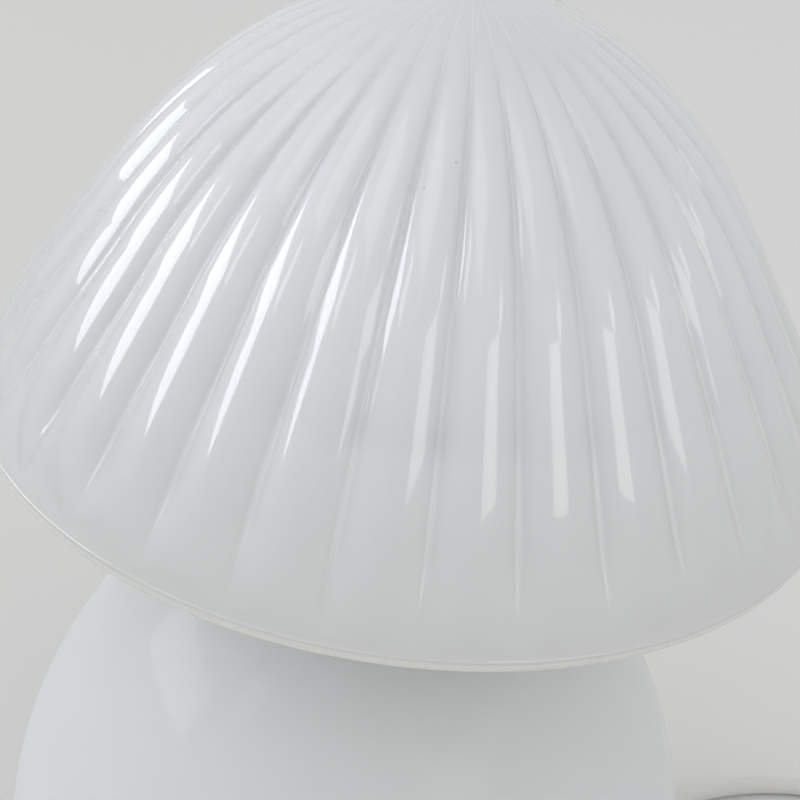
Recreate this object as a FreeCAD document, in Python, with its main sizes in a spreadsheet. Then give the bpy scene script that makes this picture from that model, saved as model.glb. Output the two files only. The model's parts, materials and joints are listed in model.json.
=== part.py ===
import FreeCAD, Part
import math
import os

import Sketcher
from FreeCAD import Placement, Rotation, Vector

doc = FreeCAD.newDocument("MushroomTableLamp")
up = Vector(0, 0, 1)

# ---------------------------------------------------------------- driving sizes, millimetres and degrees

sizes = {
    # shade: ribbed opal glass, open below
    "rimLift": 30.0,  # its rim above the neck of the body
    "shadeRadius": 100.5,
    "shadeRise": 106.3,  # from the rim to the crown
    "shadeWall": 2.4,  # at the bottom of a groove
    "ribCount": 31,
    "grooveDepth": 2.8,
    "firstGroove": -84.72,  # where the first groove stands, from +X
    "crownRadius": 16.0,  # smooth middle of the crown
    "bandHeight": 3.0,  # smooth band above the rim
    "grooveFade": 33.0,  # height above the band over which the grooves run out
    # body: smooth opal glass, egg-shaped
    "bodyRadius": 85.9,
    "bodyHalfHeight": 102.3,
    "bodyMiddle": 57.5,  # level of the widest place
    "bodySquareness": 1.9,  # exponent of its outline, a ratio
    "bodyWall": 4.0,
    "bodyFloor": 5.0,
    "neckCut": 6.8,  # the neck is cut this far below the closed top of the egg
    "neckBore": 20.0,
    "footLevel": 2.0,
    "heelRise": 6.0,
    "footFlat": 9.0,
    "puntRise": 6.0,
    # pads that the lamp stands on
    "padCount": 4,
    "padRadius": 3.6,
    # neck fitting
    "gasketThick": 1.5,
    "gasketWidth": 6.0,
    "gasketInset": 2.0,  # from the bore of the neck
    "capThick": 1.2,
    "capLip": 3.0,
    "barDrop": 9.0,
    "barWidth": 12.0,
    "barThick": 2.0,
    "barPadThick": 4.0,
    "barPadWall": 1.0,
    "nippleRadius": 5.0,
    "nippleBore": 3.4,
    "nippleTail": 9.0,
    "washerRadius": 9.0,
    "washerThick": 1.0,
    "nutFlats": 14.0,
    "nutHeight": 4.0,
    "nippleHold": 8.0,  # how far the tube goes into the lamp holder
    # carrier under the shade
    "hubRadius": 15.0,
    "hubThick": 1.5,
    "armCount": 3,
    "armRadius": 1.75,
    "armFoot": 24.0,  # from the middle, where the arms begin to rise
    "ringLift": 39.0,  # where the shade rests, above its rim
    "ringWire": 2.0,
    "sleeveRadius": 3.4,
    "sleeveTurn": 24.0,
    # lamp holder
    "holderRadius": 14.0,
    "holderWall": 2.0,
    "holderBaseHeight": 20.0,
    "holderSkirtHeight": 30.0,
    "holderMouth": 9.0,
    "insertThick": 8.0,
    "shellRadius": 7.4,  # inside the screw shell's rings
    "shellThick": 0.5,
    "shellHeight": 19.0,
    "threadPitch": 2.82,
    "threadDepth": 0.5,
    "contactLift": 2.2,
    "contactThick": 0.4,
    "terminalScrewRadius": 1.6,
    "coreRadius": 1.1,
    # bulb
    "bulbCapRadius": 6.9,
    "bulbCapHeight": 21.0,
    "bulbInsulatorHeight": 2.5,
    "bulbTipHeight": 1.0,
    "bulbTipRadius": 2.2,
    "collarRadius": 19.0,
    "collarHeight": 19.0,
    "globeRadius": 22.5,
    "globeWall": 1.2,
    "boardRadius": 16.0,
    "boardThick": 1.6,
    "chipCount": 6,
    "chipSide": 3.0,
    "driverLength": 24.0,
    # lead through the body
    "cordRadius": 2.5,
    "exitLevel": 24.0,
    "exitTurn": 45.0,  # from +X
    "flangeRadius": 8.5,
    "flangeThick": 2.5,
    "holeRadius": 5.5,
    "bootLength": 27.0,
    "bootRadius": 4.8,
    "bootTip": 3.4,
    "bootRings": 5,
    # switch on the lead
    "switchX": 179.0,
    "switchY": -18.0,
    "switchLength": 60.0,
    "switchWidth": 25.0,
    "switchHeight": 17.0,
    "switchSplit": 8.5,
    "switchWall": 2.0,
    "switchCorner": 8.0,
    "switchEdge": 2.2,
    "rockerReach": 10.0,
    "rockerWidth": 12.0,
    "rockerThrow": 14.0,
    "rockerDrop": 4.0,  # of its pin below the top of the cover
    "pinRadius": 1.0,
    "cordGrip": 5.0,  # length of cord held inside the switch and the plug
    "bridgeThick": 0.6,
    "screwRadius": 1.4,
    "screwPitch": 44.0,
    # coil of the put-away length
    "coilRadius": 30.0,  # at the middle of its turns
    "coilStep": 5.5,
    "coilTurnsIn": 3.5,
    "coilTurnsOut": 4.0,
    "coilY": -105.0,
    # plug
    "plugY": -60.0,  # middle of the plug's body
    "plugLength": 36.0,
    "plugWidth": 35.0,
    "plugThick": 13.7,
    "plugTail": 9.0,
    "plugPinRadius": 2.0,
    "plugPinLength": 19.0,
    "plugPinSpan": 18.0,
    "plugSleeveLength": 10.0,
    "plugSleeveRadius": 1.75,
    "plugCoreRadius": 1.35,
    # clearances
    "slipGap": 0.1,  # pieces of one body that fit in each other
    "turnGap": 0.05,  # a pin in its hole
    "liftGap": 0.3,  # glass and bulb from what they come away from
}

sheet = doc.addObject("Spreadsheet::Sheet", "Sizes")
for row, (word, number) in enumerate(sizes.items(), start=1):
    sheet.set(f"A{row}", word)
    sheet.set(f"B{row}", str(number))
    sheet.setAlias(f"B{row}", word)
doc.recompute()


class Size:
    """A length that keeps its value and the sheet formula it comes from."""

    def __init__(self, text, value):
        self.text = text
        self.value = float(value)

    def joined(self, other, sign, value):
        right = other.text if isinstance(other, Size) else repr(other)
        return Size(f"({self.text} {sign} {right})", value)

    def __add__(self, other):
        return self.joined(other, "+", self.value + float(other))

    def __sub__(self, other):
        return self.joined(other, "-", self.value - float(other))

    def __mul__(self, other):
        return self.joined(other, "*", self.value * float(other))

    def __truediv__(self, other):
        return self.joined(other, "/", self.value / float(other))

    def __neg__(self):
        return self * -1

    def __float__(self):
        return self.value


class Named:
    """Every cell of the sheet as a Size, under the cell's own alias."""

    def __init__(self):
        for word in sizes:
            setattr(self, word, Size(f"Sizes.{word}", sheet.get(word)))


of = Named()
zero = of.slipGap * 0
neckLevel = of.bodyMiddle + of.bodyHalfHeight - of.neckCut
rimLevel = neckLevel + of.rimLift


def bind(thing, **formulas):
    """Binds properties to formulas; a double underscore stands for a dot."""
    for name, size in formulas.items():
        thing.setExpression(name.replace("__", "."), size.text)


def count(size):
    return int(round(float(size)))


# ---------------------------------------------------------------- sketches and the pieces made from them


def originPlane(body, role):
    return next(f for f in body.Origin.OriginFeatures if f.Role == role)


def arcBetween(start, end, radius):
    """Arc from start to end that turns left on the way."""
    chord = end - start
    side = Vector(-chord.y, chord.x, 0).normalize()
    centre = (start + end) / 2 + side * math.sqrt(max(radius * radius - chord.Length * chord.Length / 4, 0))
    angles = [math.atan2(p.y - centre.y, p.x - centre.x) for p in (start, end)]
    return Part.ArcOfCircle(Part.Circle(centre, up, radius), *angles)


def holdPoint(edge, point, x, y):
    """Constraints, with their formulas, that hold one point of a sketch."""
    return [
        (Sketcher.Constraint("DistanceX", -1, 1, edge, point, float(x)), x),
        (Sketcher.Constraint("DistanceY", -1, 1, edge, point, float(y)), y),
    ]


def drawOutline(sketch, corners):
    """Closed outline through (x, y) corners, each held by formulas. A third entry bends the edge that leaves.
    A single (x, y, radius) is a circle."""
    spots = [Vector(float(c[0]), float(c[1]), 0) for c in corners]
    starts = []
    ends = []
    rules = []
    if len(corners) == 1:
        x, y, radius = corners[0]
        edge = sketch.addGeometry(Part.Circle(spots[0], up, float(radius)))
        rules = holdPoint(edge, 3, x, y) + [(Sketcher.Constraint("Radius", edge, float(radius)), radius)]
    else:
        for k, corner in enumerate(corners):
            a = spots[k]
            b = spots[(k + 1) % len(spots)]
            if len(corner) == 3:
                edge = sketch.addGeometry(arcBetween(a, b, float(corner[2])))
                rules.append((Sketcher.Constraint("Radius", edge, float(corner[2])), corner[2]))
            else:
                edge = sketch.addGeometry(Part.LineSegment(a, b))
            starts.append((edge, 1))
            ends.append((edge, 2))
    for k, end in enumerate(ends):
        sketch.addConstraint(Sketcher.Constraint("Coincident", *end, *starts[(k + 1) % len(starts)]))
    for (edge, point), (x, y, *_) in zip(starts, corners):
        rules += holdPoint(edge, point, x, y)
    for rule, size in rules:
        number = sketch.addConstraint(rule)
        if size.text != zero.text:
            sketch.setExpression(f"Constraints[{number}]", size.text)


def newSketch(body, name, role, corners, level=None):
    sketch = body.newObject("Sketcher::SketchObject", name)
    sketch.AttachmentSupport = [(originPlane(body, role), "")]
    sketch.MapMode = "FlatFace"
    if level is not None:
        sketch.AttachmentOffset = Placement(Vector(0, 0, float(level)), Rotation())
        sketch.setExpression("AttachmentOffset.Base.z", level.text)
    drawOutline(sketch, corners)
    return sketch


def turned(label, outline, place=None):
    """A piece turned on a lathe: an outline of (radius, level) corners swung round the axis."""
    body = doc.addObject("PartDesign::Body", label)
    sketch = newSketch(body, label + "_outline", "XZ_Plane", outline)
    turn = body.newObject("PartDesign::Revolution", label + "_turn")
    turn.Profile = sketch
    turn.ReferenceAxis = (sketch, ["V_Axis"])
    turn.Angle = 360
    if place is not None:
        body.Placement = place
    return body


def padded(label, corners, bottom, thick, role="XY_Plane", place=None):
    """A flat piece: its outline, given its thickness from the level called bottom."""
    body = doc.addObject("PartDesign::Body", label)
    pad = body.newObject("PartDesign::Pad", label + "_pad")
    pad.Profile = newSketch(body, label + "_outline", role, corners, bottom)
    pad.Length = float(thick)
    pad.setExpression("Length", thick.text)
    if place is not None:
        body.Placement = place
    return body


def cutInto(body, name, corners, level, depth, role="XY_Plane"):
    """A pocket that starts at a level, runs along its plane's own axis and has to take something away."""
    doc.recompute()
    before = body.Shape.Volume
    pocket = body.newObject("PartDesign::Pocket", name)
    pocket.Profile = newSketch(body, name + "_outline", role, corners, level)
    pocket.Length = float(depth)
    pocket.setExpression("Length", depth.text)
    pocket.Reversed = True
    doc.recompute()
    if body.Shape.Volume > before - 1e-6:
        raise RuntimeError(name + " takes nothing away")
    return pocket


def rectangle(halfX, halfY, middleX=None, middleY=None):
    x = middleX or zero
    y = middleY or zero
    return [(x - halfX, y - halfY), (x + halfX, y - halfY), (x + halfX, y + halfY), (x - halfX, y + halfY)]


def roundedRectangle(halfX, halfY, corner):
    flatX = halfX - corner
    flatY = halfY - corner
    return [
        (-flatX, -halfY),
        (flatX, -halfY, corner),
        (halfX, -flatY),
        (halfX, flatY, corner),
        (flatX, halfY),
        (-flatX, halfY, corner),
        (-halfX, flatY),
        (-halfX, -flatY, corner),
    ]


def ring(inner, outer, low, high):
    return [(inner, low), (outer, low), (outer, high), (inner, high)]


def cylinder(name, radius, height, place=None, level=None):
    rod = doc.addObject("Part::Cylinder", name)
    rod.Placement = place or Placement()
    bind(rod, Radius=radius, Height=height)
    if level is not None:
        bind(rod, Placement__Base__z=level)
    return rod


def block(name, length, width, height, corner):
    """A box whose lowest corner is held by three formulas."""
    box = doc.addObject("Part::Box", name)
    bind(box, Length=length, Width=width, Height=height)
    bind(box, Placement__Base__x=corner[0], Placement__Base__y=corner[1], Placement__Base__z=corner[2])
    return box


def cut(label, base, tool):
    made = doc.addObject("Part::Cut", label)
    made.Base = base
    made.Tool = tool
    return made


def grouped(label, pieces, place=None):
    """Several equal solids that share one node."""
    made = doc.addObject("Part::Compound", label)
    made.Links = pieces
    if place is not None:
        made.Placement = place
    return made


def formed(label, shape):
    """A piece whose surfaces come from formulas."""
    made = doc.addObject("Part::Feature", label)
    made.Shape = shape
    made.Placement = Placement()
    return made


def hexNut(label, level):
    """A nut across its flats, clear of the threaded tube by the slip gap."""
    prism = doc.addObject("Part::Prism", label + "_hexagon")
    prism.Polygon = 6
    bind(prism, Circumradius=of.nutFlats / math.sqrt(3), Height=of.nutHeight, Placement__Base__z=level)
    hole = cylinder(label + "_hole", of.nippleRadius + of.slipGap, of.nutHeight, level=level)
    return cut(label, prism, hole)


# ---------------------------------------------------------------- shade glass

# The outline is two smooth curves: a flat crown that turns down to the shoulder, and the flank that leans out and
# then drops into the rim. Radius and height above the rim, in millimetres.
shoulder = Vector(float(of.shadeRadius) * 0.70, float(of.shadeRise) * 0.558, 0)
shoulderSlope = 59.3
crownPull = float(of.shadeRadius) * 0.264
shoulderPullUp = float(of.shadeRadius) * 0.265
shoulderPullDown = float(of.shadeRadius) * 0.155
rimPull = Vector(-float(of.shadeRadius) * 0.027, float(of.shadeRise) * 0.1665, 0)


def shadePoles():
    lean = math.radians(shoulderSlope)
    down = Vector(math.cos(lean), -math.sin(lean), 0)
    top = Vector(0, float(of.shadeRise), 0)
    rim = Vector(float(of.shadeRadius), 0, 0)
    crown = [top, top + Vector(crownPull, 0, 0), shoulder - down * shoulderPullUp, shoulder]
    flank = [shoulder, shoulder + down * shoulderPullDown, rim + rimPull, rim]
    return crown, flank


def bezier(poles, t):
    s = 1 - t
    weights = (s * s * s, 3 * s * s * t, 3 * s * t * t, t * t * t)
    return Vector(sum(w * p.x for w, p in zip(weights, poles)), sum(w * p.y for w, p in zip(weights, poles)), 0)


def outlinePoint(t):
    """Point of the shade's outline from the crown at 0 to the rim at 2."""
    crown, flank = shadePoles()
    return bezier(crown, t) if t <= 1 else bezier(flank, t - 1)


def outlineNormal(t):
    step = 0.001
    way = outlinePoint(min(t + step, 2)) - outlinePoint(max(t - step, 0))
    return Vector(-way.y, way.x, 0).normalize()


def search(test, low, high):
    """Where test turns from false to true between low and high."""
    for _ in range(50):
        middle = (low + high) / 2
        if test(middle):
            high = middle
        else:
            low = middle
    return high


def smooth(x, low, high):
    k = min(max((x - low) / (high - low), 0), 1)
    return k * k * (3 - 2 * k)


grooveFull = float(of.shadeRadius) * 0.617  # radius from which the grooves have their whole depth


def grooveAt(t):
    """Depth of the grooves, square to the glass: none on the crown and on the band above the rim."""
    spot = outlinePoint(t)
    fromCrown = smooth(spot.x, float(of.crownRadius), grooveFull)
    fromRim = smooth(spot.y, float(of.bandHeight), float(of.bandHeight + of.grooveFade))
    return float(of.grooveDepth) * fromCrown * fromRim


def polar(radius, angle, level):
    return Vector(radius * math.cos(angle), radius * math.sin(angle), level)


def lobedWire(t):
    """One level section of the ribbed glass: convex lobes that meet in sharp grooves."""
    spot = outlinePoint(t)
    level = float(rimLevel) + spot.y
    steep = max(abs(outlineNormal(t).x), 0.35)
    valley = spot.x - grooveAt(t) / steep
    ribs = count(of.ribCount)
    turn = 2 * math.pi / ribs
    first = math.radians(float(of.firstGroove))
    arcs = []
    for k in range(ribs):
        low = polar(valley, first + k * turn, level)
        crest = polar(spot.x, first + (k + 0.5) * turn, level)
        high = polar(valley, first + (k + 1) * turn, level)
        arcs.append(Part.Arc(low, crest, high).toShape())
    return Part.Wire(arcs)


def swung(edges):
    """Closed outline in the XZ plane, turned into a solid about the lamp's axis."""
    return Part.Face(Part.Wire(edges)).revolve(Vector(), up, 360)


def inPlane(spot, base=0.0):
    return Vector(spot.x, 0, spot.y + base)


def splineThrough(spots):
    curve = Part.BSplineCurve()
    curve.interpolate(spots)
    return curve.toShape()


def line(a, b):
    return Part.LineSegment(a, b).toShape()


def shadeShape():
    base = float(rimLevel)
    tCrown = search(lambda t: outlinePoint(t).x > float(of.crownRadius), 0, 1)
    tBand = search(lambda t: outlinePoint(t).y < float(of.bandHeight), 1, 2)
    sectionCount = 14
    steps = [tCrown + (tBand - tCrown) * k / (sectionCount - 1) for k in range(sectionCount)]
    ribbed = Part.makeLoft([lobedWire(t) for t in steps], True, False)

    crownSpots = [inPlane(outlinePoint(tCrown * k / 4), base) for k in range(5)]
    crownEdge = crownSpots[-1]
    axisSpot = Vector(0, 0, crownEdge.z)
    crown = swung([splineThrough(crownSpots), line(crownEdge, axisSpot), line(axisSpot, crownSpots[0])])

    # the band runs down into a fire-polished lip as thick as the glass is there
    thick = shadeThickness(2)
    lipRadius = thick / 2
    tLip = search(lambda t: outlinePoint(t).y < lipRadius, 1, 2)
    bandSpots = [inPlane(outlinePoint(tBand + (tLip - tBand) * k / 4), base) for k in range(5)]
    bandTop = bandSpots[0]
    lipOuter = bandSpots[-1]
    lipLow = Vector(lipOuter.x - lipRadius, 0, base)
    lipInner = Vector(lipOuter.x - thick, 0, lipOuter.z)
    lip = Part.Arc(lipOuter, lipLow, lipInner).toShape()
    bandAxis = Vector(0, 0, bandTop.z)
    lipAxis = Vector(0, 0, lipInner.z)
    band = swung(
        [
            splineThrough(bandSpots),
            lip,
            line(lipInner, lipAxis),
            line(lipAxis, bandAxis),
            line(bandAxis, bandTop),
        ]
    )

    insideSpots = [inPlane(insidePoint(2 * k / 16), base) for k in range(16)]
    insideSpots.append(lipInner)
    hollowTop = Vector(0, 0, insideSpots[0].z)
    hollow = swung([splineThrough(insideSpots), line(lipInner, lipAxis), line(lipAxis, hollowTop)])
    return ribbed.fuse([crown, band]).removeSplitter().cut(hollow)


def shadeThickness(t):
    """From the crests to the smooth inside of the glass."""
    swell = float(of.grooveDepth) * smooth(outlinePoint(t).x, float(of.crownRadius), grooveFull)
    return float(of.shadeWall) + max(swell * 0.6, grooveAt(t))


def insidePoint(t):
    spot = outlinePoint(t) - outlineNormal(t) * shadeThickness(t)
    return Vector(max(spot.x, 0), spot.y, 0)


# ---------------------------------------------------------------- body glass


def eggRadius(level, wall=0.0):
    """Radius of the body at a level: a superellipse, or the inside of it a wall's thickness in."""
    height = (level - float(of.bodyMiddle)) / (float(of.bodyHalfHeight) - wall)
    power = float(of.bodySquareness)
    return (float(of.bodyRadius) - wall) * max(1 - abs(height) ** power, 0) ** (1 / power)


def eggSlope(level, wall=0.0):
    return (eggRadius(level + 0.05, wall) - eggRadius(level - 0.05, wall)) / 0.1


def eggSpots(low, high, wall, stepCount=14):
    """Points of the outline, closer together where it turns in at the neck."""
    levels = [low + (high - low) * math.sin(math.pi / 2 * k / stepCount) for k in range(stepCount + 1)]
    return [Vector(eggRadius(z, wall), 0, z) for z in levels]


def bend(start, knee, end):
    """Curve from start to end that leaves and arrives along the sides of the knee."""
    curve = Part.BezierCurve()
    curve.setPoles([start, knee, end])
    return curve.toShape()


def heel(corner, level, reach):
    """Rounded corner from the side of the glass to a flat at a level, reach further in."""
    drop = corner.z - level
    knee = Vector(corner.x - eggSlope(corner.z) * drop, 0, level)
    flat = Vector(corner.x - reach, 0, level)
    return bend(corner, knee, flat), flat


def neckInsideLevel():
    """Where the inside of the glass has closed in to the bore of the neck."""
    wall = float(of.bodyWall)
    return search(lambda z: eggRadius(z, wall) < float(of.neckBore), float(of.bodyMiddle), float(of.bodyMiddle + of.bodyHalfHeight))


def bodyOutside():
    """The body as if it were solid glass."""
    foot = float(of.footLevel)
    top = float(neckLevel)
    outer = eggSpots(foot + float(of.heelRise), top, 0)
    heelEdge, heelFlat = heel(outer[0], foot, heelReach())
    puntEdge = Vector(heelFlat.x - float(of.footFlat), 0, foot)
    puntTop = Vector(0, 0, foot + float(of.puntRise))
    punt = bend(puntEdge, Vector(puntEdge.x / 2, 0, puntTop.z), puntTop)
    axisTop = Vector(0, 0, top)
    return swung(
        [
            splineThrough(outer),
            heelEdge,
            line(heelFlat, puntEdge),
            punt,
            line(puntTop, axisTop),
            line(axisTop, outer[-1]),
        ]
    )


def heelReach():
    """How far in the rounded heel meets the flat that the glass stands on."""
    return float(of.footFlat) * 4 / 3


def bodyShape():
    wall = float(of.bodyWall)
    foot = float(of.footLevel)
    top = float(neckLevel)
    floor = foot + float(of.puntRise) + float(of.bodyFloor)
    inner = eggSpots(floor + float(of.heelRise), min(neckInsideLevel(), top), wall)
    floorEdge, floorFlat = heel(inner[0], floor, heelReach())
    floorAxis = Vector(0, 0, floor)
    neckAxis = Vector(0, 0, inner[-1].z)
    hollow = swung(
        [
            splineThrough(inner),
            floorEdge,
            line(floorFlat, floorAxis),
            line(floorAxis, neckAxis),
            line(neckAxis, inner[-1]),
        ]
    )
    bore = Part.makeCylinder(float(of.neckBore), wall * 4, Vector(0, 0, top - wall * 3))
    exitHole = Part.makeCylinder(float(of.holeRadius), wall * 6, exitSpot() - exitWay() * wall * 3, exitWay())
    return bodyOutside().cut(hollow).cut(bore).cut(exitHole)


def footRadius():
    """Middle of the flat ring that the pads are stuck to."""
    return eggRadius(float(of.footLevel) + float(of.heelRise)) - heelReach() - float(of.footFlat) / 2


def exitWay():
    """Square to the glass where the lead comes out: outward and a little down."""
    tilt = -math.atan(eggSlope(float(of.exitLevel)))
    turn = math.radians(float(of.exitTurn))
    return Vector(math.cos(tilt) * math.cos(turn), math.cos(tilt) * math.sin(turn), math.sin(tilt))


def exitSpot():
    level = float(of.exitLevel)
    return polar(eggRadius(level), math.radians(float(of.exitTurn)), level)


# ---------------------------------------------------------------- lead and cord


def roundedRoute(label, points):
    """Straight runs joined by tangent arcs, each as large as its two runs allow."""
    edges = []
    radii = []
    last = points[0]
    for before, here, after in zip(points, points[1:], points[2:]):
        come = (here - before).normalize()
        go = (after - here).normalize()
        half = come.getAngle(go) / 2
        reach = 0.45 * min((here - before).Length, (after - here).Length)
        radius = reach / math.tan(half)
        middle = here + (go - come).normalize() * radius * (1 / math.cos(half) - 1)
        start = here - come * reach
        end = here + go * reach
        edges.append(line(last, start))
        edges.append(Part.Arc(start, middle, end).toShape())
        radii.append(radius)
        last = end
    edges.append(line(last, points[-1]))
    wire = Part.Wire(edges)
    print(f"{label}: length {wire.Length:.1f}, arc radii", " ".join(f"{r:.0f}" for r in radii))
    return wire


def tube(label, wire, radius):
    """Round section carried along the wire; its volume has to be section times length."""
    start = wire.Edges[0].firstVertex().Point
    way = wire.Edges[0].tangentAt(wire.Edges[0].FirstParameter)
    shell = Part.BRepOffsetAPI.MakePipeShell(wire)
    shell.add(Part.Wire(Part.makeCircle(radius, start, way)))
    shell.build()
    shell.makeSolid()
    shape = shell.shape()
    share = shape.Volume / (math.pi * radius * radius * wire.Length)
    print(f"{label}: volume over section times length {share:.4f}")
    return formed(label, shape)


def coilMiddle():
    """The coil is entered on its right side by the cord that comes straight from the switch."""
    return Vector(float(of.switchX) - coilOuter(float(of.coilTurnsIn)), float(of.coilY), 0)


def coilInner():
    turns = max(float(of.coilTurnsIn), float(of.coilTurnsOut))
    return float(of.coilRadius) - float(of.coilStep) * (turns - 0.25) / 2


def coilOuter(turns):
    return coilInner() + float(of.coilStep) * turns


def coilPoint(turn):
    """Spiral in on the table, a climb in the half turn where it reverses, and out again on top."""
    past = turn - float(of.coilTurnsIn)
    radius = coilInner() + float(of.coilStep) * abs(past)
    climb = min(max(past * 2 + 0.5, 0), 1)
    level = float(of.cordRadius) + float(of.coilStep) * (climb - math.sin(2 * math.pi * climb) / (2 * math.pi))
    return coilMiddle() + polar(radius, -2 * math.pi * turn, level)


def coilWay(turn):
    step = 0.0005
    return (coilPoint(turn + step) - coilPoint(turn - step)).normalize()


def arcFrom(start, way, end):
    """The one arc that leaves start along way and ends at end."""
    chord = end - start
    half = chord.getAngle(way)
    if half < 1e-6:
        return line(start, end)
    along = Vector(chord).normalize()
    side = (way - along * way.dot(along)).normalize()
    return Part.Arc(start, start + chord / 2 + side * chord.Length / 2 * math.tan(half / 2), end).toShape()


def biarc(start, way, end, endWay):
    """Two arcs, tangent to each other and to the two ways."""
    chord = end - start
    both = way + endWay
    spread = 2 * (1 - way.dot(endWay))
    reach = (math.sqrt(chord.dot(both) ** 2 + spread * chord.dot(chord)) - chord.dot(both)) / spread
    joint = (start + end + (way - endWay) * reach) / 2
    first = arcFrom(start, way, joint)
    second = arcFrom(end, endWay * -1, joint)
    second.reverse()
    return [first, second]


def coilWire():
    """Quarter turns, each a pair of arcs, with straight ends one cord's diameter long."""
    turns = float(of.coilTurnsIn) + float(of.coilTurnsOut)
    quarters = count(Size("", turns * 4))
    spots = [coilPoint(turns * k / quarters) for k in range(quarters + 1)]
    ways = [coilWay(turns * k / quarters) for k in range(quarters + 1)]
    ways[0] = Vector(ways[0].x, ways[0].y, 0).normalize()
    ways[-1] = Vector(ways[-1].x, ways[-1].y, 0).normalize()
    straight = 2 * float(of.cordRadius)
    edges = [line(spots[0] - ways[0] * straight, spots[0])]
    for k in range(quarters):
        edges += biarc(spots[k], ways[k], spots[k + 1], ways[k + 1])
    edges.append(line(spots[-1], spots[-1] + ways[-1] * straight))
    return Part.Wire(edges), (spots[0] - ways[0] * straight, ways[0]), (spots[-1] + ways[-1] * straight, ways[-1])


def leastGap(turns, diameter):
    """Smallest room between two turns of the coil, on points of its middle line."""
    perTurnCount = 120
    pointCount = int(turns * perTurnCount)
    spots = [coilPoint(turns * k / pointCount) for k in range(pointCount + 1)]
    least = 1e9
    for i, a in enumerate(spots):
        for b in spots[i + perTurnCount // 2 :]:
            least = min(least, (b - a).Length)
    return least - diameter


# ---------------------------------------------------------------- levels up the neck

gasketTop = neckLevel + of.gasketThick
capTop = gasketTop + of.capThick
hubTop = capTop + of.hubThick
upperWasherTop = hubTop + of.washerThick
upperNutTop = upperWasherTop + of.nutHeight
holderTopOfBase = upperNutTop + of.holderBaseHeight
holderTop = holderTopOfBase + of.holderSkirtHeight
insertTop = holderTopOfBase + of.insertThick / 2
insertFoot = insertTop - of.insertThick
contactTop = insertTop + of.contactLift + of.contactThick
nippleTop = upperNutTop + of.nippleHold
barTop = neckLevel - of.barDrop
barFoot = barTop - of.barThick
lowerWasherFoot = barFoot - of.washerThick
lowerNutFoot = lowerWasherFoot - of.nutHeight
nippleFoot = lowerNutFoot - of.nippleTail
threadHole = of.nippleRadius + of.slipGap

# ---------------------------------------------------------------- glass, pads and neck fitting

formed("shade_glass", shadeShape())
formed("body_glass", bodyShape())


def footPads():
    pads = []
    for k in range(count(of.padCount)):
        spot = polar(footRadius(), 2 * math.pi * (k + 0.5) / count(of.padCount), 0)
        pads.append(cylinder(f"foot_pad_{k}", of.padRadius, of.footLevel, Placement(spot, Rotation())))
    return grouped("foot_pads", pads)


footPads()

gasketInner = of.neckBore + of.gasketInset
turned("neck_gasket", ring(gasketInner, gasketInner + of.gasketWidth, neckLevel, gasketTop))

lipClear = eggRadius(float(gasketTop - of.capLip)) + float(of.slipGap) * 5
capInside = Size(repr(lipClear), lipClear)
capRadius = capInside + of.capThick
turned(
    "neck_cap",
    [
        (threadHole, gasketTop),
        (capInside, gasketTop),
        (capInside, gasketTop - of.capLip),
        (capRadius, gasketTop - of.capLip),
        (capRadius, capTop - of.capThick / 2),
        (capRadius - of.capThick / 2, capTop),
        (threadHole, capTop),
    ],
)


def barHalf():
    """Half the length of the bar that, with its end pads on, still fits inside the glass of the neck."""
    inside = eggRadius(float(barTop + of.barPadWall), float(of.bodyWall)) - float(of.slipGap) * 2
    padHalf = float(of.barWidth) / 2 + float(of.barPadWall)
    return math.sqrt(inside * inside - padHalf * padHalf) - float(of.barPadWall)


def clampBar():
    half = Size(repr(barHalf()), barHalf())
    bar = padded("clamp_bar", rectangle(half, of.barWidth / 2), barFoot, of.barThick)
    cutInto(bar, "clamp_bar_hole", [(zero, zero, threadHole)], barFoot, of.barThick)
    rim = of.barPadWall
    pads = []
    for side in (-1, 1):
        out = half + rim
        corner = (out - of.barPadThick if side > 0 else -out, -(of.barWidth / 2 + rim), barFoot - rim)
        pad = block(f"bar_pad_block_{side}", of.barPadThick, of.barWidth + rim * 2, of.barThick + rim * 2, corner)
        slot = block(
            f"bar_pad_slot_{side}",
            half * 2,
            of.barWidth,
            of.barThick,
            (-half, -(of.barWidth / 2), barFoot),
        )
        pads.append(cut(f"bar_pad_{side}", pad, slot))
    grouped("clamp_bar_pads", pads)


clampBar()

turned("nipple", ring(of.nippleBore, of.nippleRadius, nippleFoot, nippleTop))
turned("lower_washer", ring(threadHole, of.washerRadius, lowerWasherFoot, barFoot))
turned("upper_washer", ring(threadHole, of.washerRadius, hubTop, upperWasherTop))
hexNut("lower_nut", lowerNutFoot)
hexNut("upper_nut", upperWasherTop)

# ---------------------------------------------------------------- carrier that the shade rests on


def ringPlace():
    """Radius and level of the carrier's ring, so that its sleeves stop just short of the glass."""
    away = float(of.sleeveRadius) + float(of.liftGap)
    level = float((rimLevel + of.ringLift)) - float(rimLevel)
    t = search(lambda t: insidePoint(t).y < level, 0.2, 1.99)
    spot = insidePoint(t)
    step = insidePoint(t + 0.002) - insidePoint(t - 0.002)
    inward = Vector(step.y, -step.x, 0).normalize()
    return spot + inward * away + Vector(0, float(rimLevel), 0)


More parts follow.
